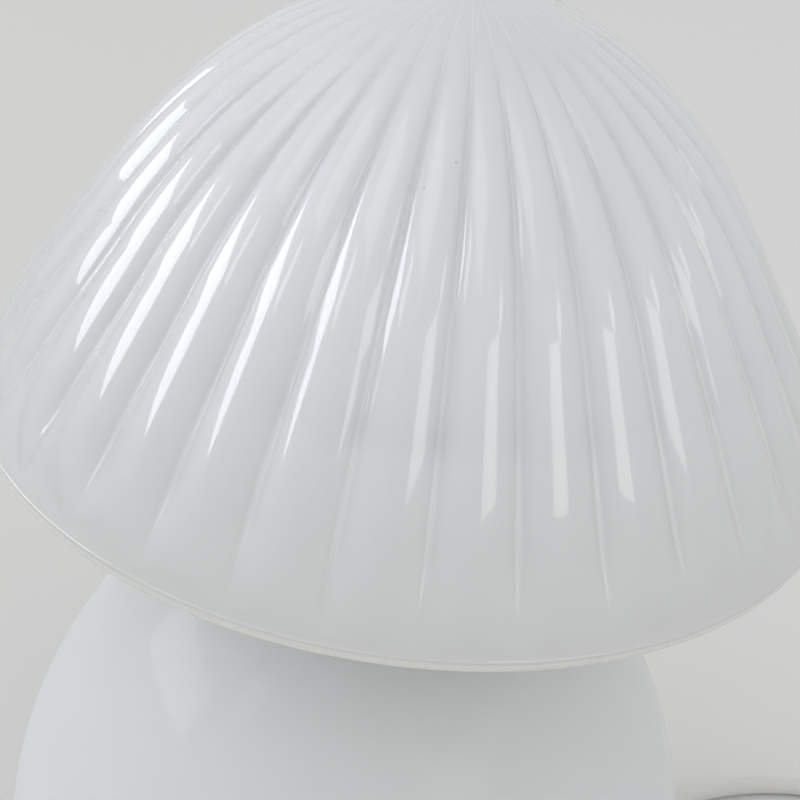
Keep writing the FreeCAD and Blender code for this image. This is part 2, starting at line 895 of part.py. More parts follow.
def carrier():
    place = ringPlace()
    hub = Part.makeCylinder(float(of.hubRadius), float(of.hubThick), Vector(0, 0, float(capTop)))
    hole = Part.makeCylinder(float(threadHole), float(of.hubThick) * 3, Vector(0, 0, float(capTop) - 1))
    made = hub.fuse(Part.makeTorus(place.x, float(of.ringWire), Vector(0, 0, place.y)))
    wire = float(of.armRadius)
    low = float(capTop) + wire
    for k in range(count(of.armCount)):
        turn = math.pi / 2 + 2 * math.pi * k / count(of.armCount)
        points = [
            polar(float(of.hubRadius) - 3, turn, low),
            polar(float(of.armFoot), turn, low),
            polar((float(of.armFoot) + place.x) / 2 + 6, turn, (low + place.y) / 2 - 6),
            polar(place.x, turn, place.y),
        ]
        arm = roundedRoute(f"carrier arm {k}", points)
        shell = Part.BRepOffsetAPI.MakePipeShell(arm)
        shell.add(Part.Wire(Part.makeCircle(wire, points[0], points[1] - points[0])))
        shell.build()
        shell.makeSolid()
        made = made.fuse(shell.shape())
    formed("shade_carrier", made.cut(hole))

    half = float(of.sleeveTurn) / 2
    sleeves = []
    for k in range(count(of.armCount)):
        outer = Part.makeTorus(place.x, float(of.sleeveRadius), Vector(), up, -180, 180, 2 * half)
        inner = Part.makeTorus(place.x, float(of.ringWire) + float(of.slipGap), Vector(), up, -180, 180, 2 * half)
        sleeve = outer.cut(inner)
        turn = 30 + 360 * k / count(of.armCount) - half
        sleeve.Placement = Placement(Vector(0, 0, place.y), Rotation(up, turn))
        sleeves.append(sleeve)
    formed("carrier_pads", Part.makeCompound(sleeves))


carrier()

# ---------------------------------------------------------------- lamp holder

holderInside = of.holderRadius - of.holderWall
bossRadius = of.nippleRadius + of.holderWall * 1.5
turned(
    "holder_base",
    [
        (threadHole, upperNutTop),
        (bossRadius, upperNutTop),
        (of.holderRadius, upperNutTop + of.holderWall * 3),
        (of.holderRadius, holderTopOfBase),
        (holderInside, holderTopOfBase),
        (holderInside, upperNutTop + of.holderWall * 3.5),
        (bossRadius, upperNutTop + of.holderWall * 1.5),
        (bossRadius, nippleTop),
        (threadHole, nippleTop),
    ],
)
turned(
    "holder_skirt",
    [
        (holderInside, holderTopOfBase),
        (of.holderRadius, holderTopOfBase),
        (of.holderRadius - of.holderWall / 2, holderTop - of.holderWall),
        (of.holderRadius - of.holderWall, holderTop),
        (of.holderMouth, holderTop),
        (of.holderMouth, holderTop - of.holderWall),
        (holderInside - of.holderWall / 2, holderTop - of.holderWall * 1.5),
    ],
)
insertRadius = holderInside - of.slipGap - of.holderWall / 2
turned("holder_insert", [(zero, insertFoot), (insertRadius, insertFoot), (insertRadius, insertTop), (zero, insertTop)])


def shellOutline(inner, thick, low, height, depth):
    """Ringed outline of a screw shell, standing for its rounded thread."""
    rings = int(float(height) / float(of.threadPitch))
    pitch = height / rings
    inside = [(inner, low)]
    outside = [(inner + thick, low)]
    for k in range(rings):
        for edge, radius in ((inside, inner), (outside, inner + thick)):
            edge.append((radius + depth, low + pitch * (k + 0.5)))
            edge.append((radius, low + pitch * (k + 1)))
    return outside + inside[::-1]


shellFoot = insertTop
turned("screw_shell", shellOutline(of.shellRadius, of.shellThick, shellFoot, of.shellHeight, of.threadDepth))

tongueHalf = of.bulbTipRadius
tongueFoot = of.shellRadius - 1.5
padded(
    "centre_contact",
    [
        (-tongueFoot, insertTop),
        (-tongueFoot + of.contactThick * 4, insertTop),
        (-tongueFoot + of.contactThick * 4, insertTop + of.contactThick),
        (-tongueHalf, insertTop + of.contactLift),
        (tongueHalf, insertTop + of.contactLift),
        (tongueHalf, contactTop),
        (-tongueHalf, contactTop),
        (-tongueFoot, insertTop + of.contactThick * 2),
    ],
    -of.contactThick * 4,
    of.contactThick * 8,
    role="XZ_Plane",
)
sideFoot = of.shellRadius + of.shellThick + of.threadDepth + of.slipGap
block(
    "side_contact",
    of.contactThick,
    of.contactThick * 8,
    of.insertThick,
    (sideFoot, -(of.contactThick * 4), insertTop),
)


def terminals():
    """Two screws from below, and the two cores that run to them from the end of the lead's sheath."""
    screws = []
    cores = []
    for side in (-1, 1):
        x = of.nippleRadius * side
        screw = cylinder(
            f"terminal_screw_{side}",
            of.terminalScrewRadius,
            of.holderWall,
            Placement(Vector(float(x), 0, 0), Rotation()),
            level=insertFoot - of.holderWall,
        )
        bind(screw, Placement__Base__x=x)
        screws.append(screw)
        start = Vector(float(of.coreRadius) * side * 1.15, 0, float(nippleTop) - 1)
        end = Vector(float(x), 0, float(insertFoot - of.holderWall))
        middle = [start + Vector(0, 0, 1.2), end - Vector(0, 0, 1.2)]
        cores.append(roundedRoute(f"core {side}", [start, *middle, end]))
    grouped("terminal_screws", screws)
    shapes = []
    for wire in cores:
        radius = float(of.coreRadius)
        shell = Part.BRepOffsetAPI.MakePipeShell(wire)
        shell.add(Part.Wire(Part.makeCircle(radius, wire.Edges[0].firstVertex().Point, up)))
        shell.build()
        shell.makeSolid()
        shapes.append(shell.shape())
    formed("wire_cores", Part.makeCompound(shapes))


terminals()

# ---------------------------------------------------------------- bulb

bulbTipFoot = contactTop + of.liftGap
bulbInsulatorFoot = bulbTipFoot + of.bulbTipHeight
bulbCapFoot = bulbInsulatorFoot + of.bulbInsulatorHeight
collarFoot = holderTop + of.liftGap * 2
collarTop = collarFoot + of.collarHeight
capCore = of.bulbCapRadius - of.threadDepth

turned("bulb_contact", [(zero, bulbTipFoot), (of.bulbTipRadius, bulbTipFoot),
                        (of.bulbTipRadius, bulbInsulatorFoot), (zero, bulbInsulatorFoot)])
turned(
    "bulb_insulator",
    [
        (zero, bulbInsulatorFoot),
        (of.bulbTipRadius * 1.4, bulbInsulatorFoot),
        (capCore - of.shellThick, bulbCapFoot),
        (zero, bulbCapFoot),
    ],
)
turned("bulb_cap", shellOutline(capCore - of.shellThick, of.shellThick, bulbCapFoot, of.bulbCapHeight, of.threadDepth))
collarWall = of.holderWall / 2
turned(
    "bulb_collar",
    [
        (of.bulbCapRadius, collarFoot),
        (of.holderMouth + 1, collarFoot),
        (of.collarRadius, collarTop),
        (of.collarRadius - collarWall * 1.5, collarTop),
        (of.holderMouth - collarWall, collarFoot + collarWall * 2),
        (of.bulbCapRadius, collarFoot + collarWall * 2),
    ],
)


def globe():
    """Round diffuser whose mouth sits on the collar."""
    radius = float(of.globeRadius)
    seat = math.sqrt(radius**2 - float(of.collarRadius) ** 2)
    middle = float(collarTop) + seat
    cells = []
    for name, wall in (("globe_outside", of.globeWall * 0), ("globe_inside", of.globeWall)):
        ball = doc.addObject("Part::Sphere", name)
        ball.Placement = Placement(Vector(0, 0, middle), Rotation())
        bind(ball, Radius=of.globeRadius - wall)
        ball.Angle1 = -math.degrees(math.asin(seat / (radius - float(wall))))
        cells.append(ball)
    cut("bulb_globe", *cells)


globe()

boardFoot = collarTop
boardTop = boardFoot + of.boardThick
turned("led_board", [(zero, boardFoot), (of.boardRadius, boardFoot), (of.boardRadius, boardTop), (zero, boardTop)])


def ledChips():
    chips = []
    for k in range(count(of.chipCount)):
        turn = 360 * k / count(of.chipCount)
        chip = doc.addObject("Part::Box", f"led_chip_{k}")
        bind(chip, Length=of.chipSide, Width=of.chipSide, Height=of.contactThick * 2)
        spot = polar(float(of.boardRadius) * 0.62, math.radians(turn), float(boardTop))
        corner = Rotation(up, turn).multVec(Vector(-float(of.chipSide) / 2, -float(of.chipSide) / 2, 0))
        chip.Placement = Placement(spot + corner, Rotation(up, turn))
        chips.append(chip)
    grouped("led_chips", chips)


ledChips()
block(
    "bulb_driver",
    capCore * 1.5,
    of.boardThick,
    of.driverLength,
    (-(capCore * 0.75), -(of.boardThick / 2), boardFoot - of.driverLength),
)

# ---------------------------------------------------------------- where the lead leaves the body


def alongExit(distance):
    return exitSpot() + exitWay() * distance


exitPlace = Placement(exitSpot(), Rotation(up, exitWay()))
leadHole = of.cordRadius + of.slipGap


def grommet():
    """Silicone bush: a neck in the glass and a flange that lies on it."""
    wall = float(of.bodyWall)
    thick = float(of.flangeThick)
    flange = Part.makeCylinder(float(of.flangeRadius), thick + wall, Vector(0, 0, -wall))
    inward = wall * 1.9
    neck = Part.makeCylinder(float(of.holeRadius) - float(of.slipGap), inward + thick / 2, Vector(0, 0, -inward))
    hole = Part.makeCylinder(float(leadHole), inward * 5, Vector(0, 0, -inward * 2.5))
    flange.Placement = exitPlace
    neck.Placement = exitPlace
    hole.Placement = exitPlace
    formed("cord_grommet", flange.cut(bodyOutside()).fuse(neck).cut(hole))


grommet()


def strainRelief():
    """Tapered boot on the cord, with rings cut into it so that it bends."""
    foot = of.flangeThick + of.slipGap
    taper = (of.bootRadius - of.bootTip) / of.bootLength
    step = of.bootLength / (count(of.bootRings) + 1)
    outside = [(of.bootRadius, foot)]
    for k in range(count(of.bootRings)):
        low = step * (k + 0.7)
        high = step * (k + 1)
        outside.append((of.bootRadius - taper * low, foot + low))
        outside.append((of.bootRadius - taper * low - of.bridgeThick, foot + low + of.bridgeThick / 2))
        outside.append((of.bootRadius - taper * high - of.bridgeThick, foot + high - of.bridgeThick / 2))
        outside.append((of.bootRadius - taper * high, foot + high))
    outside.append((of.bootTip, foot + of.bootLength))
    corners = [(leadHole, foot), *outside, (leadHole, foot + of.bootLength)]
    turned("strain_relief", corners, exitPlace)


strainRelief()
bootEnd = float(of.flangeThick + of.slipGap + of.bootLength)
bootTip = alongExit(bootEnd)

inside = [
    bootTip,
    alongExit(-float(of.bodyWall) * 9.5),
    Vector(9.5, 9.5, float(nippleFoot) * 0.5625),
    Vector(0, 0, float(nippleFoot) * 0.828),
    Vector(0, 0, float(nippleTop) - 1),
]
tube("inner_lead", roundedRoute("inner lead", inside), float(of.cordRadius))

# ---------------------------------------------------------------- cord on the table

cordLevel = float(of.cordRadius)
switchFar = Vector(float(of.switchX), float(of.switchY + of.switchLength / 2), float(of.switchSplit))
switchNear = Vector(float(of.switchX), float(of.switchY - of.switchLength / 2), float(of.switchSplit))
grip = float(of.cordGrip)

toSwitch = [
    bootTip,
    alongExit(bootEnd + cordLevel * 2.8),
    Vector(90.5, 89.2, 5.2),
    Vector(100.4, 96.0, 2.6),
    Vector(112.5, 103.4, cordLevel),
    Vector(126.0, 108.8, cordLevel),
    Vector(140.2, 111.4, cordLevel),
    Vector(155.0, 110.0, cordLevel),
    Vector(168.5, 103.8, cordLevel),
    Vector(178.0, 93.0, cordLevel),
    Vector(182.6, 78.5, cordLevel),
    Vector(182.8, 62.0, cordLevel),
    Vector(180.6, 45.0, cordLevel + 0.4),
    Vector(179.0, 30.0, 5.6),
    Vector(179.0, 19.0, 8.5),
    switchFar + Vector(0, -grip, 0),
]
tube("cord_to_switch", roundedRoute("cord to switch", toSwitch), cordLevel)

coilRun, (coilStart, coilStartWay), (coilEnd, coilEndWay) = coilWire()
toCoil = [
    switchNear + Vector(0, grip, 0),
    switchNear + Vector(0, -cordLevel * 2.4, 0),
    switchNear + Vector(0, -cordLevel * 7.6, -4.6),
    coilStart - coilStartWay * (cordLevel * 5.2),
    coilStart,
]
tube("cord_to_coil", roundedRoute("cord to coil", toCoil), cordLevel)
tube("cord_coil", coilRun, cordLevel)
coilTurns = float(of.coilTurnsIn) + float(of.coilTurnsOut)
print(f"cord_coil: length {coilRun.Length:.1f}, least gap between turns {leastGap(coilTurns, 2 * cordLevel):.2f}")

plugX = coilEnd.x
plugLevel = of.plugThick / 2
print(f"plug at x {plugX:.4f}")
plugRear = Vector(plugX, float(of.plugY - of.plugLength / 2), float(plugLevel))
toPlug = [
    coilEnd,
    coilEnd + coilEndWay * 6,
    plugRear + Vector(0, -5, 0.1),
    plugRear + Vector(0, grip, 0),
]
tube("cord_to_plug", roundedRoute("cord to plug", toPlug), cordLevel)

# ---------------------------------------------------------------- switch on the cord

switchPlace = Placement(Vector(float(of.switchX), float(of.switchY), 0), Rotation())
halfWidth = of.switchWidth / 2
halfLength = of.switchLength / 2
roomWidth = halfWidth - of.switchWall
roomLength = halfLength - of.switchWall * 2
channel = of.cordRadius + of.slipGap
pivot = of.switchHeight - of.rockerDrop


def roundEdges(body, name, level, radius):
    """Rounds the outer edges that lie at a level."""
    doc.recompute()
    tip = body.Tip
    names = []
    for k, edge in enumerate(tip.Shape.Edges, start=1):
        if all(abs(v.Z - float(level)) < 1e-4 for v in edge.Vertexes):
            names.append(f"Edge{k}")
    fillet = body.newObject("PartDesign::Fillet", name)
    fillet.Base = (tip, names)
    fillet.Radius = float(radius)
    fillet.setExpression("Radius", radius.text)


def channelCuts(body, name):
    """Half-round ways for the cord at both ends."""
    hole = [(zero, of.switchSplit, channel)]
    cutInto(body, name, hole, -halfLength, of.switchLength, role="XZ_Plane")


def switchShells():
    base = padded("switch_base", roundedRectangle(halfWidth, halfLength, of.switchCorner), zero, of.switchSplit)
    roundEdges(base, "switch_base_edge", zero, of.switchEdge)
    room = roundedRectangle(roomWidth, roomLength, of.switchCorner - of.switchWall)
    cutInto(base, "switch_base_room", room, of.switchWall, of.switchSplit - of.switchWall)

    rise = of.switchHeight - of.switchSplit
    cover = padded("switch_cover", roundedRectangle(halfWidth, halfLength, of.switchCorner), of.switchSplit, rise)
    roundEdges(cover, "switch_cover_edge", of.switchHeight, of.switchEdge)
    cutInto(cover, "switch_cover_room", room, of.switchSplit, rise - of.switchWall)
    window = rectangle(of.rockerWidth / 2 + of.liftGap, of.rockerReach + of.liftGap)
    cutInto(cover, "switch_cover_window", window, of.switchSplit, rise)
    for body in (base, cover):
        channelCuts(body, body.Label + "_channel")
        body.Placement = switchPlace


switchShells()


def rocker():
    """Rocker with two raised ends, at rest with its far end pressed."""
    reach = of.rockerReach
    topY = reach * 0.86
    topZ = reach * math.sqrt(1 - 0.86**2)
    leg = of.rockerWidth / 2
    outline = [
        (zero, -(reach * 0.16)),
        (reach * 0.88, -(reach * 0.16)),
        (reach * 0.987, reach * 0.16, reach),
        (topY, topZ),
        (zero, reach * 0.38),
        (-topY, topZ, reach),
        (-(reach * 0.987), reach * 0.16),
        (-(reach * 0.88), -(reach * 0.16)),
    ]
    tilt = Rotation(Vector(1, 0, 0), -float(of.rockerThrow) / 2)
    place = switchPlace.multiply(Placement(Vector(0, 0, float(pivot)), tilt))
    body = padded("switch_rocker", outline, -leg, of.rockerWidth, role="YZ_Plane")
    stem = rectangle(of.rockerWidth / 4, of.rockerDrop)
    pad = body.newObject("PartDesign::Pad", "switch_rocker_leg")
    pad.Profile = newSketch(body, "switch_rocker_leg_outline", "XY_Plane", stem, -(of.rockerDrop * 1.2))
    pad.Length = float(of.rockerDrop)
    pad.setExpression("Length", of.rockerDrop.text)
    hole = of.pinRadius + of.turnGap
    bore = [(zero, zero, hole)]
    cutInto(body, "switch_rocker_bore", bore, -leg, of.rockerWidth, role="YZ_Plane")
    body.Placement = place
    padded(
        "rocker_bridge",
        rectangle(of.rockerWidth / 3, of.rockerReach * 0.6),
        -(of.rockerDrop * 1.2) - of.bridgeThick,
        of.bridgeThick,
        place=place,
    )


rocker()

pinLength = roomWidth * 2
pinPlace = switchPlace.multiply(Placement(Vector(-float(roomWidth), 0, float(pivot)), Rotation(up, Vector(1, 0, 0))))
cylinder("rocker_pin", of.pinRadius, pinLength, pinPlace)


def switchInside():
    """Two fixed contacts that the bridge joins, and the two screws that close the shells."""
    height = pivot - of.rockerDrop * 1.2 - of.bridgeThick - of.rockerReach * 0.12 - of.switchWall
    contacts = []
    for side in (-1, 1):
        x = of.rockerWidth / 6 * side * 1.5 - of.rockerWidth / 10
        y = -(of.rockerReach * 0.9)
        contacts.append(
            block(f"contact_{side}", of.rockerWidth / 5, of.rockerReach / 2, height, (x, y, of.switchWall))
        )
    grouped("switch_contacts", contacts, switchPlace)
    screws = []
    for side in (-1, 1):
        screw = cylinder(f"switch_screw_{side}", of.screwRadius, of.switchSplit - of.switchWall)
        bind(screw, Placement__Base__y=of.screwPitch / 2 * side, Placement__Base__z=of.switchWall)
        bind(screw, Placement__Base__x=roomWidth - of.screwRadius * 2)
        screws.append(screw)
    grouped("switch_screws", screws, switchPlace)


switchInside()

# ---------------------------------------------------------------- plug

plugPlace = Placement(Vector(plugX, float(of.plugY), float(plugLevel)), Rotation(Vector(1, 0, 0), -90))
plugHalf = of.plugLength / 2


def plugBody():
    """Flat moulded plug that narrows to the cord."""
    body = doc.addObject("PartDesign::Body", "plug_body")
    stations = (
        (-plugHalf, of.plugTail / 2, of.plugTail / 2, of.plugTail * 0.45),
        (-(plugHalf * 0.45), of.plugTail * 0.8, of.plugTail * 0.6, of.plugTail * 0.5),
        (plugHalf * 0.2, of.plugWidth / 2, of.plugThick / 2, of.plugThick * 0.4),
        (plugHalf, of.plugWidth / 2, of.plugThick / 2, of.plugThick * 0.4),
    )
    sketches = []
    for k, (level, halfX, halfY, corner) in enumerate(stations):
        sketches.append(newSketch(body, f"plug_section_{k}", "XY_Plane", roundedRectangle(halfX, halfY, corner), level))
    loft = body.newObject("PartDesign::AdditiveLoft", "plug_loft")
    loft.Profile = sketches[0]
    loft.Sections = sketches[1:]
    loft.Ruled = True
    hole = [(zero, zero, leadHole)]
    cutInto(body, "plug_cord_hole", hole, -plugHalf, of.cordGrip + of.slipGap)
    body.Placement = plugPlace


plugBody()


def plugPins():
    pins = []
    sleeves = []
    sleeveEnd = plugHalf + of.plugSleeveLength
    pinEnd = plugHalf + of.plugPinLength
    tip = of.plugPinRadius / 2
    for side in (-1, 1):
        place = plugPlace.multiply(Placement(Vector(float(of.plugPinSpan) / 2 * side, 0, 0), Rotation()))
        core = turned(
            f"plug_pin_{side}",
            [
                (zero, plugHalf),
                (of.plugCoreRadius, plugHalf),
                (of.plugCoreRadius, sleeveEnd),
                (of.plugPinRadius, sleeveEnd),
                (of.plugPinRadius, pinEnd - tip),
                (tip, pinEnd),
                (zero, pinEnd),
            ],
            place,
        )
        pins.append(core)
        sleeveHole = of.plugCoreRadius + of.turnGap
        sleeve = turned(f"plug_sleeve_{side}", ring(sleeveHole, of.plugSleeveRadius, plugHalf, sleeveEnd), place)
        sleeves.append(sleeve)
    grouped("plug_pins", pins)
    grouped("plug_pin_sleeves", sleeves)


plugPins()

# ---------------------------------------------------------------- check and write

nodes = """shade_glass body_glass foot_pads neck_gasket neck_cap clamp_bar clamp_bar_pads nipple lower_washer lower_nut
upper_washer upper_nut shade_carrier carrier_pads holder_base holder_skirt holder_insert screw_shell centre_contact
side_contact terminal_screws wire_cores bulb_contact bulb_insulator bulb_cap bulb_collar bulb_globe led_board
led_chips bulb_driver cord_grommet strain_relief inner_lead cord_to_switch cord_to_coil cord_coil cord_to_plug
switch_base switch_cover switch_rocker rocker_bridge rocker_pin switch_contacts switch_screws plug_body plug_pins
plug_pin_sleeves""".split()

doc.recompute()
for thing in doc.Objects:
    if "Invalid" in thing.State or "Error" in thing.State:
        raise RuntimeError(f"{thing.Label} failed: {thing.State}")

os.makedirs("parts", exist_ok=True)
for node in nodes:
    found = doc.getObjectsByLabel(node)
    if len(found) != 1:
        raise RuntimeError(f"{node}: {len(found)} objects have this label")
    shape = found[0].Shape
    if shape.isNull() or not shape.isValid() or not shape.Solids:
        raise RuntimeError(f"{node} has no valid solid")
    shape.exportStep(f"parts/{node}.step")
    box = shape.optimalBoundingBox(False)
    print(
        f"{node}: {len(shape.Solids)} solid(s), volume {shape.Volume:.1f}, "
        f"x {box.XMin:.1f} {box.XMax:.1f} y {box.YMin:.1f} {box.YMax:.1f} z {box.ZMin:.2f} {box.ZMax:.2f}"
    )
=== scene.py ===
import json
import math

import bmesh
import bpy
from mathutils import Matrix, Vector


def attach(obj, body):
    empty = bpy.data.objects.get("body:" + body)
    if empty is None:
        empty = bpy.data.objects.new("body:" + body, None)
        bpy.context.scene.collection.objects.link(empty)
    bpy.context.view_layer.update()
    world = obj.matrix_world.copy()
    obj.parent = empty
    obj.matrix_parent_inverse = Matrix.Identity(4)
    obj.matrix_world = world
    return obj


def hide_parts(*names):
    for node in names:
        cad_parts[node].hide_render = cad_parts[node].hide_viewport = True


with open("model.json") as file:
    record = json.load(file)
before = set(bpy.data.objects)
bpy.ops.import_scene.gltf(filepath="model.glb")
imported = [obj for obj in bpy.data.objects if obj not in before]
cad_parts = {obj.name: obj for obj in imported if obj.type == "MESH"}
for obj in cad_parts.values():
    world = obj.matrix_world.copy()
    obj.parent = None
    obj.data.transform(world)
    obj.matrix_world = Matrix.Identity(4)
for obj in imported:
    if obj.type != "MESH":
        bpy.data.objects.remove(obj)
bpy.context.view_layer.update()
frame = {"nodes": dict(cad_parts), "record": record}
nodes = frame["nodes"]
print("frame loaded:", len(nodes), "nodes")


# where the photograph was taken from, and the camera's own axes there
photoView = {
    "place": (0.0, -0.47109, 0.46289),
    "right": (0.988724, 0.078967, 0.127236),
    "up": (-0.149706, 0.500875, 0.852474),
    "back": (0.003588, -0.861910, 0.507049),
    "lens": 105.03,  # millimetres, as is the sensor
    "sensor": 36.0,
    "nearest": 0.01,
}


def makeCamera(view):
    data = bpy.data.cameras.new("photoCamera")
    data.sensor_fit = "HORIZONTAL"
    data.sensor_width = view["sensor"]
    data.lens = view["lens"]
    data.clip_start = view["nearest"]
    camera = bpy.data.objects.new("photoCamera", data)
    axes = Matrix((view["right"], view["up"], view["back"])).transposed()
    camera.matrix_world = Matrix.Translation(view["place"]) @ axes.to_4x4()
    bpy.context.scene.collection.objects.link(camera)
    bpy.context.scene.camera = camera


makeCamera(photoView)
print("camera placed")


class Signal:
    # a socket of a finish that can stand in a sum; each operator adds its Math node
    def __init__(self, finish, socket):
        self.finish = finish
        self.socket = socket

    def maths(self, operation, *values):
        return self.finish.node("ShaderNodeMath", {"operation": operation}, dict(enumerate(values)))

    def __add__(self, other):
        return self.maths("ADD", self, other)

    __radd__ = __add__

    def __sub__(self, other):
        return self.maths("SUBTRACT", self, other)

    def __rsub__(self, other):
        return self.maths("SUBTRACT", other, self)

    def __mul__(self, other):
        return self.maths("MULTIPLY", self, other)

    __rmul__ = __mul__

    def __truediv__(self, other):
        return self.maths("DIVIDE", self, other)

    def __rtruediv__(self, other):
        return self.maths("DIVIDE", other, self)

    def __lt__(self, other):
        return self.maths("LESS_THAN", self, other)

    def __gt__(self, other):
        return self.maths("GREATER_THAN", self, other)


def spaced(name):
    # coatWeight becomes the socket's own name, Coat Weight
    words = "".join(" " + c if c.isupper() else c for c in name)
    return words[0].upper() + words[1:]


def rgb(*values):
    return (*values, 1.0)


# socket names that spaced can't spell, and where a Mix node keeps its sockets for colours
oddNames = {"ior": "IOR", "coatIor": "Coat IOR"}
mixPlaces = {"factor": 0, "first": 6, "second": 7, "result": 2}


class Finish:
    # a material: one shader whose sockets are set, or fed by signals
    def __init__(self, name, **constants):
        self.material = bpy.data.materials.new(name)
        self.material.use_nodes = True
        self.tree = self.material.node_tree
        self.tree.nodes.clear()
        surface = self.node("ShaderNodeBsdfPrincipled")
        self.node("ShaderNodeOutputMaterial", {}, {"Surface": surface})
        self.shader = surface.socket.node
        self.place = self.node("ShaderNodeTexCoord", out="Object")
        self.set(**constants)

    def node(self, kind, settings=None, inputs=None, out=0):
        # every node comes from here: its settings first, then its sockets' values or links
        made = self.tree.nodes.new(kind)
        for name, value in (settings or {}).items():
            setattr(made, name, value)
        for name, value in (inputs or {}).items():
            self.feed(made.inputs[name], value)
        return Signal(self, made.outputs[out]) if made.outputs else None

    def feed(self, socket, value):
        if isinstance(value, Signal):
            self.tree.links.new(value.socket, socket)
        else:
            socket.default_value = value

    def set(self, **values):
        for name, value in values.items():
            self.feed(self.shader.inputs[oddNames.get(name, spaced(name))], value)

    def stretched(self, scale):
        return self.node("ShaderNodeMapping", {}, {"Vector": self.place, "Scale": scale})

    def noise(self, scale, detail, stretch=None):
        vector = self.stretched(stretch) if stretch else self.place
        inputs = {"Vector": vector, "Scale": scale, "Detail": detail}
        return self.node("ShaderNodeTexNoise", {}, inputs, out="Fac")

    def cells(self, scale, **settings):
        inputs = {"Vector": self.place, "Scale": scale}
        return self.node("ShaderNodeTexVoronoi", settings, inputs, out="Distance")

    def mix(self, factor, first, second):
        sockets = {mixPlaces["factor"]: factor, mixPlaces["first"]: first, mixPlaces["second"]: second}
        return self.node("ShaderNodeMix", {"data_type": "RGBA"}, sockets, out=mixPlaces["result"])

    def band(self, value, low, high):
        # 0 below low and 1 above high
        ends = {"Value": value, "From Min": low, "From Max": high}
        return self.node("ShaderNodeMapRange", {"interpolation_type": "SMOOTHSTEP"}, ends)

    def axis(self, letter):
        return self.node("ShaderNodeSeparateXYZ", {}, {"Vector": self.place}, out=letter)

    def bump(self, height, depth):
        return self.node("ShaderNodeBump", {}, {"Height": height, "Distance": depth}, out="Normal")


# the plain materials by kind: cloud and grain are each a noise's scale and detail, and a metal's grain has
# its stretch too; dark is the clouds' colour against the first one, soft how much light goes in, and spread
# and depth what the grain does to roughness and height
plainKinds = {
    "plastic": {
        "sockets": {"ior": 1.5, "subsurfaceScale": 0.002},
        "cloud": (60.0, 2.0), "dark": 0.93, "soft": 0.0,
        "grain": (900.0, 2.0), "spread": 0.16, "depth": 0.00002,
    },
    "metal": {
        "sockets": {"ior": 1.5, "metallic": 1.0},
        "cloud": (70.0, 2.0), "dark": 0.82, "soft": 0.0,
        "grain": (160.0, 3.0, (1.0, 1.0, 30.0)), "spread": 0.18, "depth": 0.00001,
    },
    "paint": {
        "sockets": {"ior": 1.5, "coatWeight": 0.3, "coatRoughness": 0.2},
        "cloud": (40.0, 2.0), "dark": 0.95, "soft": 0.0,
        "grain": (700.0, 2.0), "spread": 0.12, "depth": 0.00003,
    },
    "rubber": {
        "sockets": {"ior": 1.42, "subsurfaceScale": 0.003},
        "cloud": (420.0, 3.0), "dark": 0.9, "soft": 0.3,
        "grain": (420.0, 3.0), "spread": 0.2, "depth": 0.00003,
    },
}

# slot: kind, name, colour, roughness, and what differs from the kind
plainSlots = {
    "silicone_clear": ("rubber", "clearSilicone", rgb(0.82, 0.82, 0.80), 0.5, {"soft": 0.7}),
    "white_enamel": ("paint", "whiteEnamel", rgb(0.80, 0.80, 0.79), 0.38, {}),
    "zinc_steel": ("metal", "zincSteel", rgb(0.62, 0.63, 0.65), 0.32, {}),
    "holder_plastic": ("plastic", "holderPlastic", rgb(0.78, 0.78, 0.76), 0.4, {}),
    "brass": ("metal", "shellBrass", rgb(0.78, 0.60, 0.30), 0.22, {}),
    "copper_cores": ("plastic", "coreInsulation", rgb(0.14, 0.22, 0.48), 0.4, {}),
    "nickel": ("metal", "nickelCap", rgb(0.70, 0.69, 0.66), 0.2, {}),
    "bulb_black": ("plastic", "blackGlass", rgb(0.02, 0.02, 0.022), 0.15, {}),
    "bulb_white": ("plastic", "bulbHousing", rgb(0.80, 0.80, 0.79), 0.4, {"soft": 0.2}),
    "bulb_globe": ("plastic", "frostedGlobe", rgb(0.83, 0.83, 0.81), 0.5,
                   {"soft": 0.6, "grain": (1400.0, 2.0)}),
    "board_aluminium": ("paint", "boardLacquer", rgb(0.82, 0.83, 0.83), 0.38, {}),
    "cord_sheath": ("plastic", "cordSheath", rgb(0.70, 0.70, 0.67), 0.42,
                    {"soft": 0.15, "grain": (500.0, 2.0), "depth": 0.00003}),
    "cord_rubber": ("rubber", "cordRubber", rgb(0.72, 0.72, 0.69), 0.5, {}),
    "switch_plastic": ("plastic", "switchShell", rgb(0.79, 0.79, 0.77), 0.34, {}),
    "rocker_plastic": ("plastic", "rockerPlastic", rgb(0.81, 0.81, 0.80), 0.22,
                       {"grain": (1200.0, 2.0), "depth": 0.00001}),
    "steel_pin": ("metal", "steelPin", rgb(0.58, 0.59, 0.60), 0.3, {}),
    "plug_plastic": ("plastic", "plugMoulding", rgb(0.76, 0.76, 0.74), 0.38, {}),
    "plug_metal": ("metal", "plugPlating", rgb(0.74, 0.73, 0.70), 0.18, {}),
    "plug_sleeve": ("plastic", "pinSleeve", rgb(0.06, 0.06, 0.06), 0.45, {}),
}


def plainFinish(kind, name, colour, roughness, changes):
    look = {**plainKinds[kind], **changes}
    plain = Finish(name, subsurfaceWeight=look["soft"], **look["sockets"])
    grain = plain.noise(*look["grain"])
    darker = rgb(*(c * look["dark"] for c in colour[:3]))
    plain.set(baseColor=plain.mix(plain.noise(*look["cloud"]), colour, darker))
    plain.set(roughness=roughness + (grain - 0.5) * look["spread"])
    plain.set(normal=plain.bump(grain, look["depth"]))
    return plain.material


# the yellow gel over the light chips
phosphorLook = {
    "colour": rgb(0.86, 0.66, 0.12),
    "grains": rgb(0.93, 0.78, 0.25),
    "grain": (2600.0, 2.0),
    "roughness": (0.4, 0.2),  # the least, and what the grains add
}


